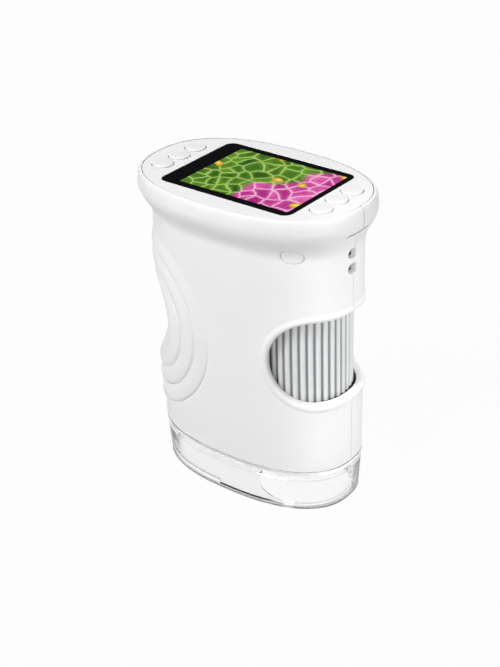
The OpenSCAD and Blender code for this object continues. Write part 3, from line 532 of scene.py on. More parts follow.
def spread(nodes, links, value, low, high, start=0.3, stop=0.7):
    """A value stretched from start and stop to low and high."""
    node = nodes.new("ShaderNodeMapRange")
    for socket, number in (("From Min", start), ("From Max", stop), ("To Min", low), ("To Max", high)):
        node.inputs[socket].default_value = number
    links.new(value, node.inputs["Value"])
    return node.outputs["Result"]


def blend_of(nodes, links, share, one, two):
    """Colour between two colours, each a colour or a socket."""
    node = nodes.new("ShaderNodeMix")
    node.data_type = "RGBA"
    links.new(share, node.inputs["Factor"])
    for socket, colour in (("A", one), ("B", two)):
        target = [i for i in node.inputs if i.name == socket and i.type == "RGBA"][0]
        if isinstance(colour, bpy.types.NodeSocket):
            links.new(colour, target)
        else:
            target.default_value = (*colour, 1)
    return [o for o in node.outputs if o.type == "RGBA"][0]


def mix_of(nodes, links, share, one, two):
    """Surface between those of two shaders."""
    node = nodes.new("ShaderNodeMixShader")
    for socket, source in zip(node.inputs, (share, one.outputs[0], two.outputs[0])):
        links.new(source, socket)
    return node.outputs[0]


def bump_of(nodes, links, value, distance):
    """Normal raised by a value, to a depth in metres."""
    node = nodes.new("ShaderNodeBump")
    node.inputs["Distance"].default_value = distance
    links.new(value, node.inputs["Height"])
    return node.outputs["Normal"]


def maths(nodes, links, operation, *values):
    """Result of an operation on numbers and sockets."""
    node = nodes.new("ShaderNodeMath")
    node.operation = operation
    for socket, value in zip(node.inputs, values):
        if isinstance(value, bpy.types.NodeSocket):
            links.new(value, socket)
        else:
            socket.default_value = value
    return node.outputs[0]


def outer_wall(nodes, links, place):
    """One on the stand's outer wall and nought inside it."""
    axes = nodes.new("ShaderNodeSeparateXYZ")
    links.new(place, axes.inputs[0])
    reach = 0
    for socket, half in zip(axes.outputs[:2], STAND_HIGH[:2]):
        share = maths(nodes, links, "MULTIPLY", maths(nodes, links, "ABSOLUTE", socket), 1 / (half * MM))
        reach = maths(nodes, links, "ADD", maths(nodes, links, "POWER", share, OVAL_POWER), reach)
    return maths(nodes, links, "GREATER_THAN", reach, WALL_REACH)


def height_of(nodes, links, place):
    """Height of a place."""
    axes = nodes.new("ShaderNodeSeparateXYZ")
    links.new(place, axes.inputs[0])
    return axes.outputs[2]


def moulded(name, colour, rough, tone=0.012, grain=GRAIN, metal=0.0, shine=0.5, shade_below=None):
    """A solid with faint changes of tone and a fine moulded or brushed grain, with painted shade below a
    height.
    """
    mat, nodes, links, shader, place = new_finish(name)
    cloud = noise_of(nodes, links, place, PATCHES, 3)
    fine = noise_of(nodes, links, place, grain, 3, 0.6)
    dark = tuple(c * (1 - tone) for c in colour)
    pale = tuple(min(1, c * (1 + tone)) for c in colour)
    skin = blend_of(nodes, links, cloud, dark, pale)
    # Below the given height the colour turns grey: painted shade on the walls of seams and holes.
    if shade_below:
        height = height_of(nodes, links, place)
        unshaded = spread(nodes, links, height, 0, 1, (shade_below - SEAM_SHADE_FADE) * MM, shade_below * MM)
        skin = blend_of(nodes, links, unshaded, SEAM_SHADE_GREY, skin)
    links.new(skin, shader.inputs["Base Color"])
    links.new(spread(nodes, links, fine, rough - GRAIN_MATT, rough + GRAIN_MATT), shader.inputs["Roughness"])
    links.new(bump_of(nodes, links, fine, GRAIN_DEEP), shader.inputs["Normal"])
    shader.inputs["Metallic"].default_value = metal
    shader.inputs["Specular IOR Level"].default_value = shine
    return mat


def clear_plastic(name, tint, rough, density=0.0, dark_foot=None):
    """Clear plastic that lets the lamps' light through, greys it along its way, and has a painted dark band,
    also rougher, low down on its outer wall.
    """
    mat, nodes, links, shader, place = new_finish(name)
    fine = noise_of(nodes, links, place, CLEAR_GRAIN, 2)
    matt = spread(nodes, links, fine, rough, rough + CLEAR_MATT)
    waves = noise_of(nodes, links, place, CLEAR_WAVES, 2)
    links.new(bump_of(nodes, links, waves, CLEAR_WAVES_DEEP), shader.inputs["Normal"])
    shader.inputs["Base Color"].default_value = (*tint, 1)
    # Low on the outer wall the colour turns grey and the surface rougher: a painted dark band standing for
    # shade along the foot's edge.
    if dark_foot:
        height = height_of(nodes, links, place)
        foot_shade = spread(nodes, links, height, 1, 0, FOOT_BAND_FADE * dark_foot * MM, dark_foot * MM)
        foot_shade = maths(nodes, links, "MULTIPLY", foot_shade, outer_wall(nodes, links, place))
        links.new(blend_of(nodes, links, foot_shade, tint, FOOT_SHADE_GREY), shader.inputs["Base Color"])
        matt = maths(nodes, links, "MULTIPLY_ADD", foot_shade, FOOT_BAND_MATT, matt)
    links.new(matt, shader.inputs["Roughness"])
    shader.inputs["Transmission Weight"].default_value = 1.0
    shader.inputs["IOR"].default_value = CLEAR_IOR
    through = nodes.new("ShaderNodeBsdfTransparent")
    through.inputs["Color"].default_value = (*(t ** 0.5 for t in tint), 1)
    shadow = nodes.new("ShaderNodeLightPath").outputs["Is Shadow Ray"]
    links.new(mix_of(nodes, links, shadow, shader, through), nodes["Material Output"].inputs["Surface"])
    if density:
        body = nodes.new("ShaderNodeVolumeAbsorption")
        body.inputs["Color"].default_value = (*CLEAR_BODY, 1)
        body.inputs["Density"].default_value = density
        links.new(body.outputs[0], nodes["Material Output"].inputs["Volume"])
    return mat


def drum_plastic():
    """Pale grey plastic of the drum, with painted shade in the grooves between its ribs."""
    mat, nodes, links, shader, place = new_finish("drum plastic")
    centre = nodes.new("ShaderNodeMapping")
    centre.inputs["Location"].default_value = (-AXIS_X * MM, 0, 0)
    centre.inputs["Scale"].default_value = (1, 1, 0)
    links.new(place, centre.inputs["Vector"])
    length = nodes.new("ShaderNodeVectorMath")
    length.operation = "LENGTH"
    links.new(centre.outputs[0], length.inputs[0])
    radius = (DRUM_HIGH[0] - AXIS_X) * MM
    # Near the groove bottoms the colour turns dark grey: painted shade in the grooves.
    full_shade, unshaded = radius - GROOVE_SHADE_FULL * MM, radius - GROOVE_SHADE_END * MM
    share = spread(nodes, links, length.outputs["Value"], 0, 1, full_shade, unshaded)
    cloud = noise_of(nodes, links, place, 300, 3)
    rib = blend_of(nodes, links, cloud, RIB_DARK, RIB_PALE)
    links.new(blend_of(nodes, links, share, GROOVE_SHADE_GREY, rib), shader.inputs["Base Color"])
    fine = noise_of(nodes, links, place, GRAIN, 3, 0.6)
    links.new(spread(nodes, links, fine, 0.36, 0.46), shader.inputs["Roughness"])
    links.new(bump_of(nodes, links, fine, GRAIN_DEEP), shader.inputs["Normal"])
    return mat


# The picture on the screen: its corners, depth and unit in millimetres, its cells and grains per unit
PICTURE_LOW, PICTURE_HIGH, PICTURE_DEEP = (-17.3, -15.3), (23.5, 15.3), 0.3
PICTURE_UNIT, PICTURE_GLOW = 10.0, 0.95
CELLS, POLLEN, POLLEN_FROM = 2.1, 1.25, 0.74
DRIFT, DRIFT_REACH = 0.9, 0.7
STAIN_LEAN = (0.42, -0.22)
POLLEN_MIDDLE, POLLEN_RIM = (0.98, 0.80, 0.16), (0.62, 0.25, 0.01)
GLASS_BLACK, GLASS_GREY = (0.004, 0.004, 0.005), (0.007, 0.007, 0.008)
# Deep, bright, grain and wall colours of plain and of stained tissue
TISSUE = (((0.012, 0.075, 0.008), (0.20, 0.42, 0.03), (0.02, 0.17, 0.012), (0.50, 0.68, 0.18)),
          ((0.36, 0.012, 0.17), (0.88, 0.16, 0.50), (0.45, 0.01, 0.26), (0.97, 0.62, 0.80)))


def screen_glass():
    """Black glossy glass with a lit picture of plant cells and grains of pollen behind it."""
    mat, nodes, links, shader, place = new_finish("screen glass")
    middle = [(a + b) / 2 / PICTURE_UNIT for a, b in zip(PICTURE_LOW, PICTURE_HIGH)]
    units = 1 / (PICTURE_UNIT * MM)
    spot = nodes.new("ShaderNodeMapping")
    spot.inputs["Location"].default_value = (-middle[0], -middle[1], 0)
    spot.inputs["Scale"].default_value = (units, units, 0)
    links.new(place, spot.inputs["Vector"])
    spot = spot.outputs[0]
    axes = nodes.new("ShaderNodeSeparateXYZ")
    links.new(spot, axes.inputs[0])
    half = [(b - a) / 2 / PICTURE_UNIT for a, b in zip(PICTURE_LOW, PICTURE_HIGH)]
    within = [maths(nodes, links, "LESS_THAN", maths(nodes, links, "ABSOLUTE", axes.outputs[i]), half[i])
              for i in range(2)]
    height = height_of(nodes, links, place)
    within.append(maths(nodes, links, "GREATER_THAN", height, (TOP - PICTURE_DEEP) * MM))
    shown = maths(nodes, links, "MULTIPLY", maths(nodes, links, "MULTIPLY", within[0], within[1]), within[2])

    drift = nodes.new("ShaderNodeTexNoise")
    drift.inputs["Scale"].default_value = DRIFT
    links.new(spot, drift.inputs["Vector"])
    warp = nodes.new("ShaderNodeVectorMath")
    warp.operation = "MULTIPLY_ADD"
    links.new(drift.outputs["Color"], warp.inputs[0])
    warp.inputs[1].default_value = (DRIFT_REACH, DRIFT_REACH, 0)
    links.new(spot, warp.inputs[2])

    def cells(scale, feature):
        node = nodes.new("ShaderNodeTexVoronoi")
        node.voronoi_dimensions = "2D"
        node.feature = feature
        node.inputs["Scale"].default_value = scale
        links.new(warp.outputs[0], node.inputs["Vector"])
        return node

    def pick(node):
        parts = nodes.new("ShaderNodeSeparateColor")
        links.new(node.outputs["Color"], parts.inputs[0])
        return parts.outputs[0]

    tone = pick(cells(CELLS, "F1"))
    edge = cells(CELLS, "DISTANCE_TO_EDGE").outputs["Distance"]
    grain = cells(5 * CELLS, "F1")
    dots = maths(nodes, links, "MULTIPLY", spread(nodes, links, grain.outputs["Distance"], 1, 0, 0.18, 0.5),
                 spread(nodes, links, pick(grain), 0, 0.8, 0.45, 0.7))
    lit = spread(nodes, links, noise_of(nodes, links, spot, 0.8, 1), 0.25, 1, 0.35, 0.65)
    wall = spread(nodes, links, edge, 1, 0, 0.015, 0.10)
    glow = spread(nodes, links, edge, 0.55, 0, 0.03, 0.30)
    border = noise_of(nodes, links, spot, 0.75, 1)
    for axis, lean in zip(axes.outputs, STAIN_LEAN):
        border = maths(nodes, links, "MULTIPLY_ADD", axis, lean, border)
    stained = spread(nodes, links, border, 0, 1, 0.66, 0.80)
    fields = []
    for deep, bright, dot, pale in TISSUE:
        field = blend_of(nodes, links, maths(nodes, links, "MULTIPLY", tone, lit), deep, bright)
        field = blend_of(nodes, links, dots, field, dot)
        field = blend_of(nodes, links, glow, field, bright)
        fields.append(blend_of(nodes, links, maths(nodes, links, "MULTIPLY", wall, 0.8), field, pale))
    field = blend_of(nodes, links, stained, *fields)
    pollen = cells(POLLEN, "F1")
    inside = spread(nodes, links, pollen.outputs["Distance"], 1, 0, 0.20, 0.25)
    some = maths(nodes, links, "GREATER_THAN", pick(pollen), POLLEN_FROM)
    chosen = maths(nodes, links, "MULTIPLY", inside, some)
    outward = spread(nodes, links, pollen.outputs["Distance"], 0, 1, 0.02, 0.22)
    ball = blend_of(nodes, links, outward, POLLEN_MIDDLE, POLLEN_RIM)
    field = blend_of(nodes, links, chosen, field, ball)
    links.new(blend_of(nodes, links, shown, (0, 0, 0), field), shader.inputs["Emission Color"])
    shader.inputs["Emission Strength"].default_value = PICTURE_GLOW
    fine = noise_of(nodes, links, place, 500, 2)
    black = blend_of(nodes, links, fine, GLASS_BLACK, GLASS_GREY)
    links.new(black, shader.inputs["Base Color"])
    links.new(spread(nodes, links, fine, 0.04, 0.07), shader.inputs["Roughness"])
    shader.inputs["Specular IOR Level"].default_value = 0.3
    return mat


# Finishes of the new pieces, and of the frame's own nodes
SHELL_WHITE = moulded("shell white", (0.86, 0.86, 0.862), 0.40, shine=0.28)
# The panel's walls below its top are painted grey, as shade in the seam and the button holes.
PANEL_WHITE = moulded("panel white", (0.88, 0.88, 0.882), 0.36, shade_below=TOP - 0.04)
BUTTON_WHITE = moulded("button white", (0.85, 0.85, 0.852), 0.34)
DRUM_GREY = drum_plastic()
SCREEN = screen_glass()
# The last number is the height of the painted dark band round the stand's foot.
STAND_CLEAR = clear_plastic("stand clear", (0.99, 0.993, 0.994), 0.0, 40.0, 1.6)

NODE_FINISHES = {
    "display": moulded("display dark", (0.02, 0.022, 0.025), 0.3, 0.1),
    "main_board": moulded("board green", (0.02, 0.14, 0.06), 0.4, 0.12, 1200),
    "button_switches": moulded("switch black", (0.02, 0.02, 0.02), 0.45, 0.1),
    "card_socket": moulded("socket steel", (0.55, 0.55, 0.54), 0.32, 0.04, metal=1.0),
    "battery": moulded("battery wrap", (0.05, 0.12, 0.3), 0.35, 0.06),
    "inner_frame": moulded("frame plastic", (0.05, 0.05, 0.052), 0.5, 0.08),
    "optics_tube": moulded("optics black", (0.02, 0.02, 0.021), 0.55, 0.1),
    "cam_ring": moulded("cam plastic", (0.6, 0.6, 0.58), 0.42, 0.03),
    "lens_elements": clear_plastic("lens glass", (0.97, 0.98, 0.98), 0.0),
    "sensor_ribbon": moulded("ribbon amber", (0.45, 0.17, 0.02), 0.35, 0.08),
    "lamp_board": moulded("lamp board white", (0.75, 0.76, 0.74), 0.4, 0.03),
    "lamps": moulded("lamp yellow", (0.75, 0.55, 0.08), 0.3, 0.08),
    "light_window": clear_plastic("window clear", (0.96, 0.97, 0.97), 0.03),
    "board_screws": moulded("screw steel", (0.5, 0.5, 0.5), 0.3, 0.05, metal=1.0),
    "bottom_cover": moulded("cover white", (0.82, 0.82, 0.82), 0.42),
}
SAME_FINISH = {
    "charging_port": "card_socket", "lens_barrel": "optics_tube", "follower_pins": "board_screws",
    "lens_retainer": "optics_tube", "sensor_mount": "optics_tube", "sensor_board": "main_board",
    "image_sensor": "display", "cover_screws": "board_screws", "shell_screws": "board_screws",
}
for node, like in SAME_FINISH.items():
    NODE_FINISHES[node] = NODE_FINISHES[like]
for node, finish in NODE_FINISHES.items():
    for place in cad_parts[node].material_slots:
        place.material = finish


# Half shells
HOLE_NEAR, HOLE_PULL, BREAK_PULL = 1.3, 0.15, 0.01
# Lines scored along the grip's creases and round the window: distance from the edge, and reach of the pull
CREASE_LINES = ((CREASE_IN, 0.2), (-0.6, 0.1), (-0.35, 0.04), (-0.15, 0.02), (0, 0), (0.16, 0.02),
                (0.32, 0.03), (0.55, 0.06), (0.9, 0.1), (1.4, 0.15))
RIM_LINES = ((RIM_EDGE, 0.3), (-0.18, 0), (-0.13, 0), (-0.03, 0.03), (0.12, 0.06), (0.34, 0.1), (0.66, 0.12),
             (RIM_CREST, 0.15), (1.5, 0.15), (1.9, 0.12), (2.15, 0.06), (2.28, 0.03), (2.36, 0),
             (RIM_FOOT, 0.2))


def half_shell(front):
    """One moulded half: a sheet scored along every moulded line, pierced, wrapped and given its wall."""
    bm = flat_sheet(0, HALF_ROUND, V_LOW, V_HIGH, SHEET_STEP)
    plugs = [lambda s, v, k=k: plug_edge(s, v, k) for k in (-1, 1)] if front else []
    if front:
        straps = [lambda s, v, z=z: end_slot(s, v, 1, z, STRAP_W, STRAP_H) for z in STRAP_ZS]
    else:
        straps = [lambda s, v, z=z: end_notch(s, v, z, 2 * STRAP_OVER, STRAP_H) for z in STRAP_ZS]
    port = lambda s, v: end_slot(s, v, -1, PORT_Z, PORT_W, PORT_H)
    holes = plugs + straps + [card_edge, port]
    breaks = [(hole, PLUG_BREAK if hole in plugs else EDGE_BREAK) for hole in holes]
    for hole in holes:
        refine(bm, lambda s, v, hole=hole: np.abs(hole(s, v)) < HOLE_NEAR)
    for v in np.concatenate([FOOT_V[1:], LIP_V[:-1], IN_V[1:-1]]):
        rule(bm, v, across=False)
    for s in (SEAM_BREAK, HALF_ROUND - SEAM_BREAK):
        rule(bm, s, across=True)
    for hole, wide in breaks:
        score(bm, hole, HOLE_PULL)
        score(bm, lambda s, v: hole(s, v) - wide, BREAK_PULL)
    for radius in RIPPLES:
        for inside, reach in CREASE_LINES:
            score(bm, lambda s, v: radius - inside - grip_reach(s, v), reach)
    for edge, reach in RIM_LINES:
        score(bm, lambda s, v: window_edge(s, v) - edge, reach)
    for hole in holes + [lambda s, v: window_edge(s, v) - RIM_EDGE]:
        trim(bm, hole)
    thicken(bm, lambda s, v: wrap_outer(s, v, breaks), wrap_inner)
    if not front:
        bmesh.ops.scale(bm, vec=(1, -1, 1), verts=bm.verts)
        face_outward(bm)
    return bm


piece(half_shell(True), "front_half", "housing", ["front_shell"], SHELL_WHITE)
piece(half_shell(False), "rear_half", "housing", ["rear_shell"], SHELL_WHITE)


# Oval plugs over the seam screws
PLUG_GAP, PLUG_DEEP = 0.12, 1.2
PLUG_SUNK, PLUG_DROP, PLUG_ROUND = 0.04, 0.16, 0.2
PLUG_LINES = ((0, 0.12), (0.07, 0), (PLUG_ROUND, 0.04))
PLUG_SHEET_S, PLUG_SHEET_V, PLUG_STEP = 6, 4, 0.4


def plug(side, bm_all):
    """Adds one plug, cut from a small sheet and wrapped to the side, to a mesh."""
    middle = float(np.interp(-side * PLUG_X, -MID_X, ARC))
    bm = flat_sheet(middle - PLUG_SHEET_S, middle + PLUG_SHEET_S,
                    PLUG_Z - PLUG_SHEET_V, PLUG_Z + PLUG_SHEET_V, PLUG_STEP)
    edge = lambda s, v: plug_edge(s, v, side) + PLUG_GAP
    for inside, reach in PLUG_LINES:
        score(bm, lambda s, v: edge(s, v) + inside, reach)
    trim(bm, lambda s, v: -edge(s, v))

    def face(s, v, down=0.0):
        z = side_point(s, v)[2]
        a, b = half_sizes(z)
        h = -PLUG_SUNK - PLUG_DROP * np.clip(1 + edge(s, v) / PLUG_ROUND, 0, 1) ** 2 - down
        return (*oval(np.interp(s, ARC, TURN), a + h, b + h), z)

    thicken(bm, face, lambda s, v: face(s, v, PLUG_DEEP))
    mesh = bpy.data.meshes.new("plug work")
    bm.to_mesh(mesh)
    bm.free()
    bm_all.from_mesh(mesh)
    bpy.data.meshes.remove(mesh)


plugs = bmesh.new()
for side in (-1, 1):
    plug(side, plugs)
piece(plugs, "seam_plugs", "housing", ["screw_plugs"], BUTTON_WHITE)

# Top panel with its button holes and the seat of the window
BUTTONS = [f"button_{side}_{i}" for side in ("left", "right") for i in (1, 2, 3)]
BUTTON_R, HOLE_R = 3.4, 3.55
KEY_SIDE, KEY_ROUND, KEY_DOME = 0.36, 0.26, 0.26
PANEL_T, GLASS_T = 2.0, GLASS_HIGH[2] - GLASS_LOW[2]
EDGE_R, RIM_R = 0.22, 0.14
GLASS_AIR, GLASS_CORNER = 0.06, 3.0
SEAT_BREAK, SEAT_LEDGE = 0.1, 2.0
PANEL_STEPS, BUTTON_STEPS, CORNER_STEPS = 200, 56, 10
button_middles = [sum(mm_box(name)) / 2 for name in BUTTONS]
rolled = [(oval_outline(PANEL_HIGH[0], PANEL_HIGH[1], PANEL_STEPS),
           round_path(-RIM_R, TOP, 0, TOP - RIM_R) + [(0, TOP - PANEL_T)])]
for middle in button_middles:
    rolled.append((circle_outline(middle[0], middle[1], HOLE_R, BUTTON_STEPS),
                   round_path(EDGE_R, TOP, 0, TOP - EDGE_R) + [(0, TOP - PANEL_T)]))
seat = corner_outline(GLASS_LOW[:2], GLASS_HIGH[:2], GLASS_CORNER, CORNER_STEPS)
seat_path = round_path(GLASS_AIR + SEAT_BREAK, TOP, GLASS_AIR, TOP - SEAT_BREAK, 3)
seat_path += [(GLASS_AIR, TOP - GLASS_T), (-SEAT_LEDGE, TOP - GLASS_T), (-SEAT_LEDGE, TOP - PANEL_T)]
rolled.append((seat, seat_path))
panel = bmesh.new()
tops, bottoms = [], []
for outline, path in rolled:
    first, last = roll(panel, outline, path)
    tops += first
    bottoms += last
cap(panel, tops)
cap(panel, bottoms)
face_outward(panel)
piece(panel, "button_panel", "housing", ["top_panel"], PANEL_WHITE)

# Black window with a fine polished edge
glass = bmesh.new()
GLASS_EDGE = 0.25
first, last = roll(glass, seat, round_path(-GLASS_EDGE, TOP, 0, TOP - GLASS_EDGE) + [(0, TOP - GLASS_T)])
cap(glass, first)
cap(glass, last)
face_outward(glass)
piece(glass, "screen_glass", "housing", ["screen_window"], SCREEN)

# Buttons
STEM_R, FLANGE_T, FLANGE_AIR = 1.0, 1.0, 0.05
KEY_ROUND_TURNS, KEY_DOME_TURNS = np.radians([25, 50, 75]), np.radians([20, 35, 50, 65, 78])
for name, middle in zip(BUTTONS, button_middles):
    low, high = mm_box(name)
    flange_r = high[0] - middle[0]
    flange_top = TOP - PANEL_T - FLANGE_AIR
    flange_low = flange_top - FLANGE_T
    rim_z = TOP + KEY_SIDE
    crown = rim_z + KEY_DOME
    points = [(0, low[2]), (STEM_R, low[2]), (STEM_R, flange_low), (flange_r, flange_low),
              (flange_r, flange_top), (BUTTON_R, flange_top), (BUTTON_R, rim_z - KEY_ROUND)]
    points += [(BUTTON_R - KEY_ROUND * (1 - math.cos(q)), rim_z - KEY_ROUND + KEY_ROUND * math.sin(q))
               for q in KEY_ROUND_TURNS]
    shoulder = points[-1]
    points += [(shoulder[0] * math.cos(q), shoulder[1] + (crown - shoulder[1]) * math.sin(q))
               for q in KEY_DOME_TURNS]
    points += [(0, crown)]
    dome = turned(points, middle[0], middle[1], BUTTON_STEPS)
    face_outward(dome)
    piece(dome, name.replace("button", "key"), name, [name], BUTTON_WHITE)

# Ribbed focus drum
RIBS, RIB_POINTS, BORE_STEPS = 40, 20, 96
RIB_ROLL, RIB_DEEP = 0.26, 0.8
RIB_LAND, RIB_FLANK = 0.56, 0.28
DRUM_EDGE, DRUM_WALL, HUB_T, CAM_AIR = 0.4, 2.0, 2.0, 0.04
drum_r = DRUM_HIGH[0] - AXIS_X
turn = np.linspace(0, 2 * math.pi, RIBS * RIB_POINTS, endpoint=False)
from_crest = 1 - np.abs((turn * RIBS / (2 * math.pi)) % 1 - 0.5) * 2
rib_r = drum_r - RIB_ROLL * np.clip(from_crest / RIB_LAND, 0, 1) ** 2
rib_r -= (RIB_DEEP - RIB_ROLL) * smooth_share((from_crest - RIB_LAND) / RIB_FLANK)


def rib_outline(offset):
    """Outline of the ribbed drum, grown outwards by an offset."""
    radius = rib_r + offset
    return np.stack([AXIS_X + radius * np.cos(turn), radius * np.sin(turn)], 1)


drum = bmesh.new()
z0, z1 = DRUM_LOW[2], DRUM_HIGH[2]
drum_path = round_path(-DRUM_EDGE, z0, 0, z0 + DRUM_EDGE) + [(0, (z0 + z1) / 2)]
drum_path += round_path(0, z1 - DRUM_EDGE, -DRUM_EDGE, z1, out_first=False)
first, last = roll(drum, rib_outline, drum_path)
bore_r, hub_z = drum_r - DRUM_WALL, z1 - HUB_T
bore = circle_outline(AXIS_X, 0, bore_r, BORE_STEPS)
into = CAM_HIGH[0] - AXIS_X + CAM_AIR - bore_r
inner_first, inner_last = roll(drum, bore, [(0, z0), (0, hub_z), (into, hub_z), (into, z1)])
cap(drum, first + inner_first)
cap(drum, last + inner_last)
face_outward(drum)
piece(drum, "ribbed_drum", "focus_drum", ["focus_drum"], DRUM_GREY)

# Clear stand
STAND_WALL, STAND_FLOOR, STAND_LEAN, STAND_MID = 1.6, 1.5, 1.0, 8.0
SLOT_LOW, SLOT_HIGH, SLOT_END = 1.5, 3.0, -2.8
SLOT_NEAR, SLOT_UPRIGHT = 0.01, 0.5
VIEW_R, VIEW_EDGE = 15.0, 0.2
STAND_STEPS, VIEW_STEPS = 180, 96
RECESS, FOOT_OFFSET, FOOT_BREAK = 0.55, -3.0, 0.12
FOOT_EDGE, LIP_EDGE = 0.35, 0.3
# Inner wall: a bead under the spigot as (offset, drop), then the slot's inner edges as (offset, height)
BEAD = ((-STAND_WALL, 0.2), (-2.1, 0.4), (-2.1, 1.3), (-1.7, 1.5))
SLOT_INSIDE = [(-2.45, SLOT_HIGH), (-2.6, SLOT_LOW)]
lip = STAND_HIGH[2]
taper = lambda z: -STAND_LEAN * (1 - z / lip)
stand = bmesh.new()
outline = oval_outline(STAND_HIGH[0], STAND_HIGH[1], STAND_STEPS)
path = [(FOOT_OFFSET, RECESS), (FOOT_OFFSET, FOOT_BREAK), (FOOT_OFFSET + FOOT_BREAK, 0)]
path += round_path(taper(0) - FOOT_EDGE, 0, taper(FOOT_EDGE), FOOT_EDGE)
path += [(taper(z), z) for z in (SLOT_LOW, SLOT_HIGH, STAND_MID, lip - LIP_EDGE)]
path += round_path(taper(lip - LIP_EDGE), lip - LIP_EDGE, -LIP_EDGE, lip, out_first=False)[1:]
path += round_path(-STAND_WALL + LIP_EDGE, lip, -STAND_WALL, lip - LIP_EDGE)
path += [(offset, SPIGOT_LOW - drop) for offset, drop in BEAD] + SLOT_INSIDE
first, last = roll(stand, outline, path)
hole = circle_outline(AXIS_X, 0, VIEW_R, VIEW_STEPS)
hole_path = round_path(VIEW_EDGE, RECESS, 0, RECESS + VIEW_EDGE, 3)
hole_path += round_path(0, STAND_FLOOR - VIEW_EDGE, VIEW_EDGE, STAND_FLOOR, 3, out_first=False)
hole_first, hole_last = roll(stand, hole, hole_path)
cap(stand, first + hole_first)
cap(stand, last + hole_last)
whole = stand.verts[:] + stand.edges[:] + stand.faces[:]
bmesh.ops.bisect_plane(stand, geom=whole, dist=SLOT_NEAR, plane_co=(SLOT_END, 0, 0), plane_no=(1, 0, 0))
gone = []
for face in stand.faces:
    middle = face.calc_center_median()
    heights = [v.co.z for v in face.verts]
    upright = max(heights) - min(heights) > SLOT_UPRIGHT
    if upright and middle.x < SLOT_END and SLOT_LOW < middle.z < SLOT_HIGH:
        gone.append(face)
bmesh.ops.delete(stand, geom=gone, context="FACES")
open_edges = [e for e in stand.edges if len(e.link_faces) == 1]
bmesh.ops.bridge_loops(stand, edges=open_edges)
face_outward(stand)
piece(stand, "clear_base", "stand", ["clear_stand"], STAND_CLEAR)


# Floor, light and camera
FLOOR_HALF, FLOOR_DROP = 3.0, 0.0001
FLOOR_GREY, FLOOR_GLOW, FLOOR_MIRRORED = (0.64, 0.64, 0.64), 0.96, 0.45
CARD_BLACK, CARD_DARK = (0.01, 0.01, 0.01), (0.014, 0.014, 0.014)
AMBIENT = 0.33
AIM, STRIP_AIM = (0, 0, 0.06), (0.0072, 0.0154, 0.0405)


def way_of(azimuth, elevation):
    """Direction at an azimuth, turned from the near side to the drum end, and an elevation."""
    level = math.cos(elevation)
    return Vector((math.sin(azimuth) * level, -math.cos(azimuth) * level, math.sin(elevation)))


def seen_share(nodes, links, mirrored=1.0):
    """One for rays of the camera, straight or through clear plastic, and a share for mirrored ones."""
    ray = nodes.new("ShaderNodeLightPath").outputs
    glossy = maths(nodes, links, "MULTIPLY", ray["Is Glossy Ray"], mirrored)
    seen = maths(nodes, links, "MAXIMUM", ray["Is Camera Ray"], glossy)
    return maths(nodes, links, "MAXIMUM", seen, ray["Is Transmission Ray"])


def stage_sheet(name, size, finish, place, way=Vector((0, 0, 1))):
    """A flat square of the stage at a place, facing a way."""
    bm = bmesh.new()
    bmesh.ops.create_grid(bm, x_segments=2, y_segments=2, size=size)
    bmesh.ops.transform(bm, matrix=way.to_track_quat("Z", "Y").to_matrix().to_4x4(), verts=bm.verts)
    bmesh.ops.translate(bm, vec=place, verts=bm.verts)
    mesh = bpy.data.meshes.new(name)
    bm.to_mesh(mesh)
    bm.free()
    mesh.materials.append(finish)
    sheet = bpy.data.objects.new(name, mesh)
    bpy.context.scene.collection.objects.link(sheet)
    return sheet


def pale_floor():
    """Pale matt floor that shows white to the camera and keeps a soft shadow."""
    mat, nodes, links, shader, place = new_finish("pale floor")
    nodes.remove(shader)
    matte = nodes.new("ShaderNodeBsdfDiffuse")
    matte.inputs["Color"].default_value = (*FLOOR_GREY, 1)
    glow = nodes.new("ShaderNodeEmission")
    seen = seen_share(nodes, links, FLOOR_MIRRORED)
    white = maths(nodes, links, "MULTIPLY", seen, FLOOR_GLOW)
    links.new(mix_of(nodes, links, white, matte, glow), nodes["Material Output"].inputs["Surface"])
    return mat


stage_sheet("floor", FLOOR_HALF, pale_floor(), Vector((0, 0, -FLOOR_DROP)))


# Dark cards: one behind and above, which the black window mirrors, and one that shades the grip end
def dark_card():
    """Matt black that mirrors nothing."""
    mat, nodes, links, shader, place = new_finish("dark card")
    grain = noise_of(nodes, links, place, 40)
    black = blend_of(nodes, links, grain, CARD_BLACK, CARD_DARK)
    links.new(black, shader.inputs["Base Color"])
    shader.inputs["Roughness"].default_value = 0.9
    shader.inputs["Specular IOR Level"].default_value = 0.0
    return mat


CARD_WAY, CARD_FAR, CARD_HALF = Vector((-0.542, 0.686, 0.485)), 0.55, 0.16
SIDE_WAY, SIDE_FAR, SIDE_HALF = Vector((-0.955, -0.168, 0.243)), 0.37, 0.19
matt_black = dark_card()
card_place = Vector((0, 0, TOP * MM)) + CARD_FAR * CARD_WAY
card = stage_sheet("dark_card", CARD_HALF, matt_black, card_place, CARD_WAY)
side_place = Vector(AIM) + SIDE_FAR * SIDE_WAY
side_card = stage_sheet("side_card", SIDE_HALF, matt_black, side_place, SIDE_WAY)
card.visible_diffuse = False
for sheet in (card, side_card):
    sheet.visible_camera = False
    sheet.visible_transmission = False
    sheet.visible_shadow = False


# Lamps
def lamp(name, azimuth, elevation, size, watts, tall=None, aim=AIM, distance=1.05, fan=180):
    """A soft lamp at a direction, in degrees, and a distance from its aim."""
    data = bpy.data.lights.new(name, "AREA")
    data.shape = "RECTANGLE" if tall else "DISK"
    data.size = size
    if tall:
        data.size_y = tall
    data.spread = math.radians(fan)
    data.energy = watts
    way = way_of(math.radians(azimuth), math.radians(elevation))
    made = bpy.data.objects.new(name, data)
    made.location = Vector(aim) + way * distance
    made.rotation_euler = way.to_track_quat("Z", "Y").to_euler()
    bpy.context.scene.collection.objects.link(made)
    return made


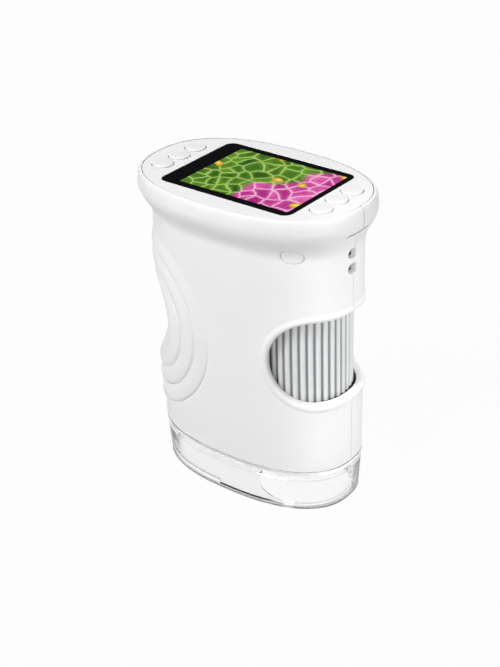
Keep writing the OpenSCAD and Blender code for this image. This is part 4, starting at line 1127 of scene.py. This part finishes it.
lamp("front lamp", -12, 46, 0.45, 7.75)
lamp("top lamp", 150, 78, 0.60, 2.2)
back_lamp = lamp("back lamp", 190, 10, 0.45, 3.4)
back_lamp.visible_glossy = back_lamp.visible_transmission = False
lamp("strip lamp", 65, 25, 0.035, 0.0071, tall=0.09, aim=STRIP_AIM, distance=0.6, fan=4)

# World: white to the camera, and a soft light all round
world = bpy.data.worlds.new("studio")
bpy.context.scene.world = world
world.use_nodes = True
nodes, links = world.node_tree.nodes, world.node_tree.links
ambient = nodes["Background"]
ambient.inputs["Color"].default_value = (1, 1, 1, 1)
ambient.inputs["Strength"].default_value = AMBIENT
white = nodes.new("ShaderNodeBackground")
white.inputs["Color"].default_value = (1, 1, 1, 1)
sky = mix_of(nodes, links, seen_share(nodes, links), ambient, white)
links.new(sky, nodes["World Output"].inputs["Surface"])

# Camera at the photograph's view, for a frame of 500 by 667
AZIMUTH, ELEVATION, ROLL = (math.radians(d) for d in (38.3, 29.27, -1.69))
DISTANCE, TARGET = 0.48775, Vector((0, 0, 0.05))
LENS, SENSOR, SHIFT_X, NEAREST = 81.29, 36, -0.015, 0.01
back = way_of(AZIMUTH, ELEVATION)
right = Vector((math.cos(AZIMUTH), math.sin(AZIMUTH), 0))
up = back.cross(right)
camera_right = right * math.cos(ROLL) + up * math.sin(ROLL)
camera_up = up * math.cos(ROLL) - right * math.sin(ROLL)
camera_data = bpy.data.cameras.new("camera")
camera_data.lens = LENS
camera_data.sensor_width = SENSOR
camera_data.shift_x = SHIFT_X
camera_data.clip_start = NEAREST
camera = bpy.data.objects.new("camera", camera_data)
camera.matrix_world = Matrix((camera_right, camera_up, back)).transposed().to_4x4()
camera.location = TARGET + back * DISTANCE
bpy.context.scene.collection.objects.link(camera)
bpy.context.scene.camera = camera
bpy.context.scene.view_settings.view_transform = "Standard"
# Light that runs along inside the clear plastic is followed to where it leaves
bpy.context.scene.cycles.max_bounces = 24
bpy.context.scene.cycles.glossy_bounces = 6
bpy.context.scene.cycles.transmission_bounces = 20
# Each lamp is asked as often as the others, so that the small strip lamp is steady
bpy.context.scene.cycles.use_light_tree = False
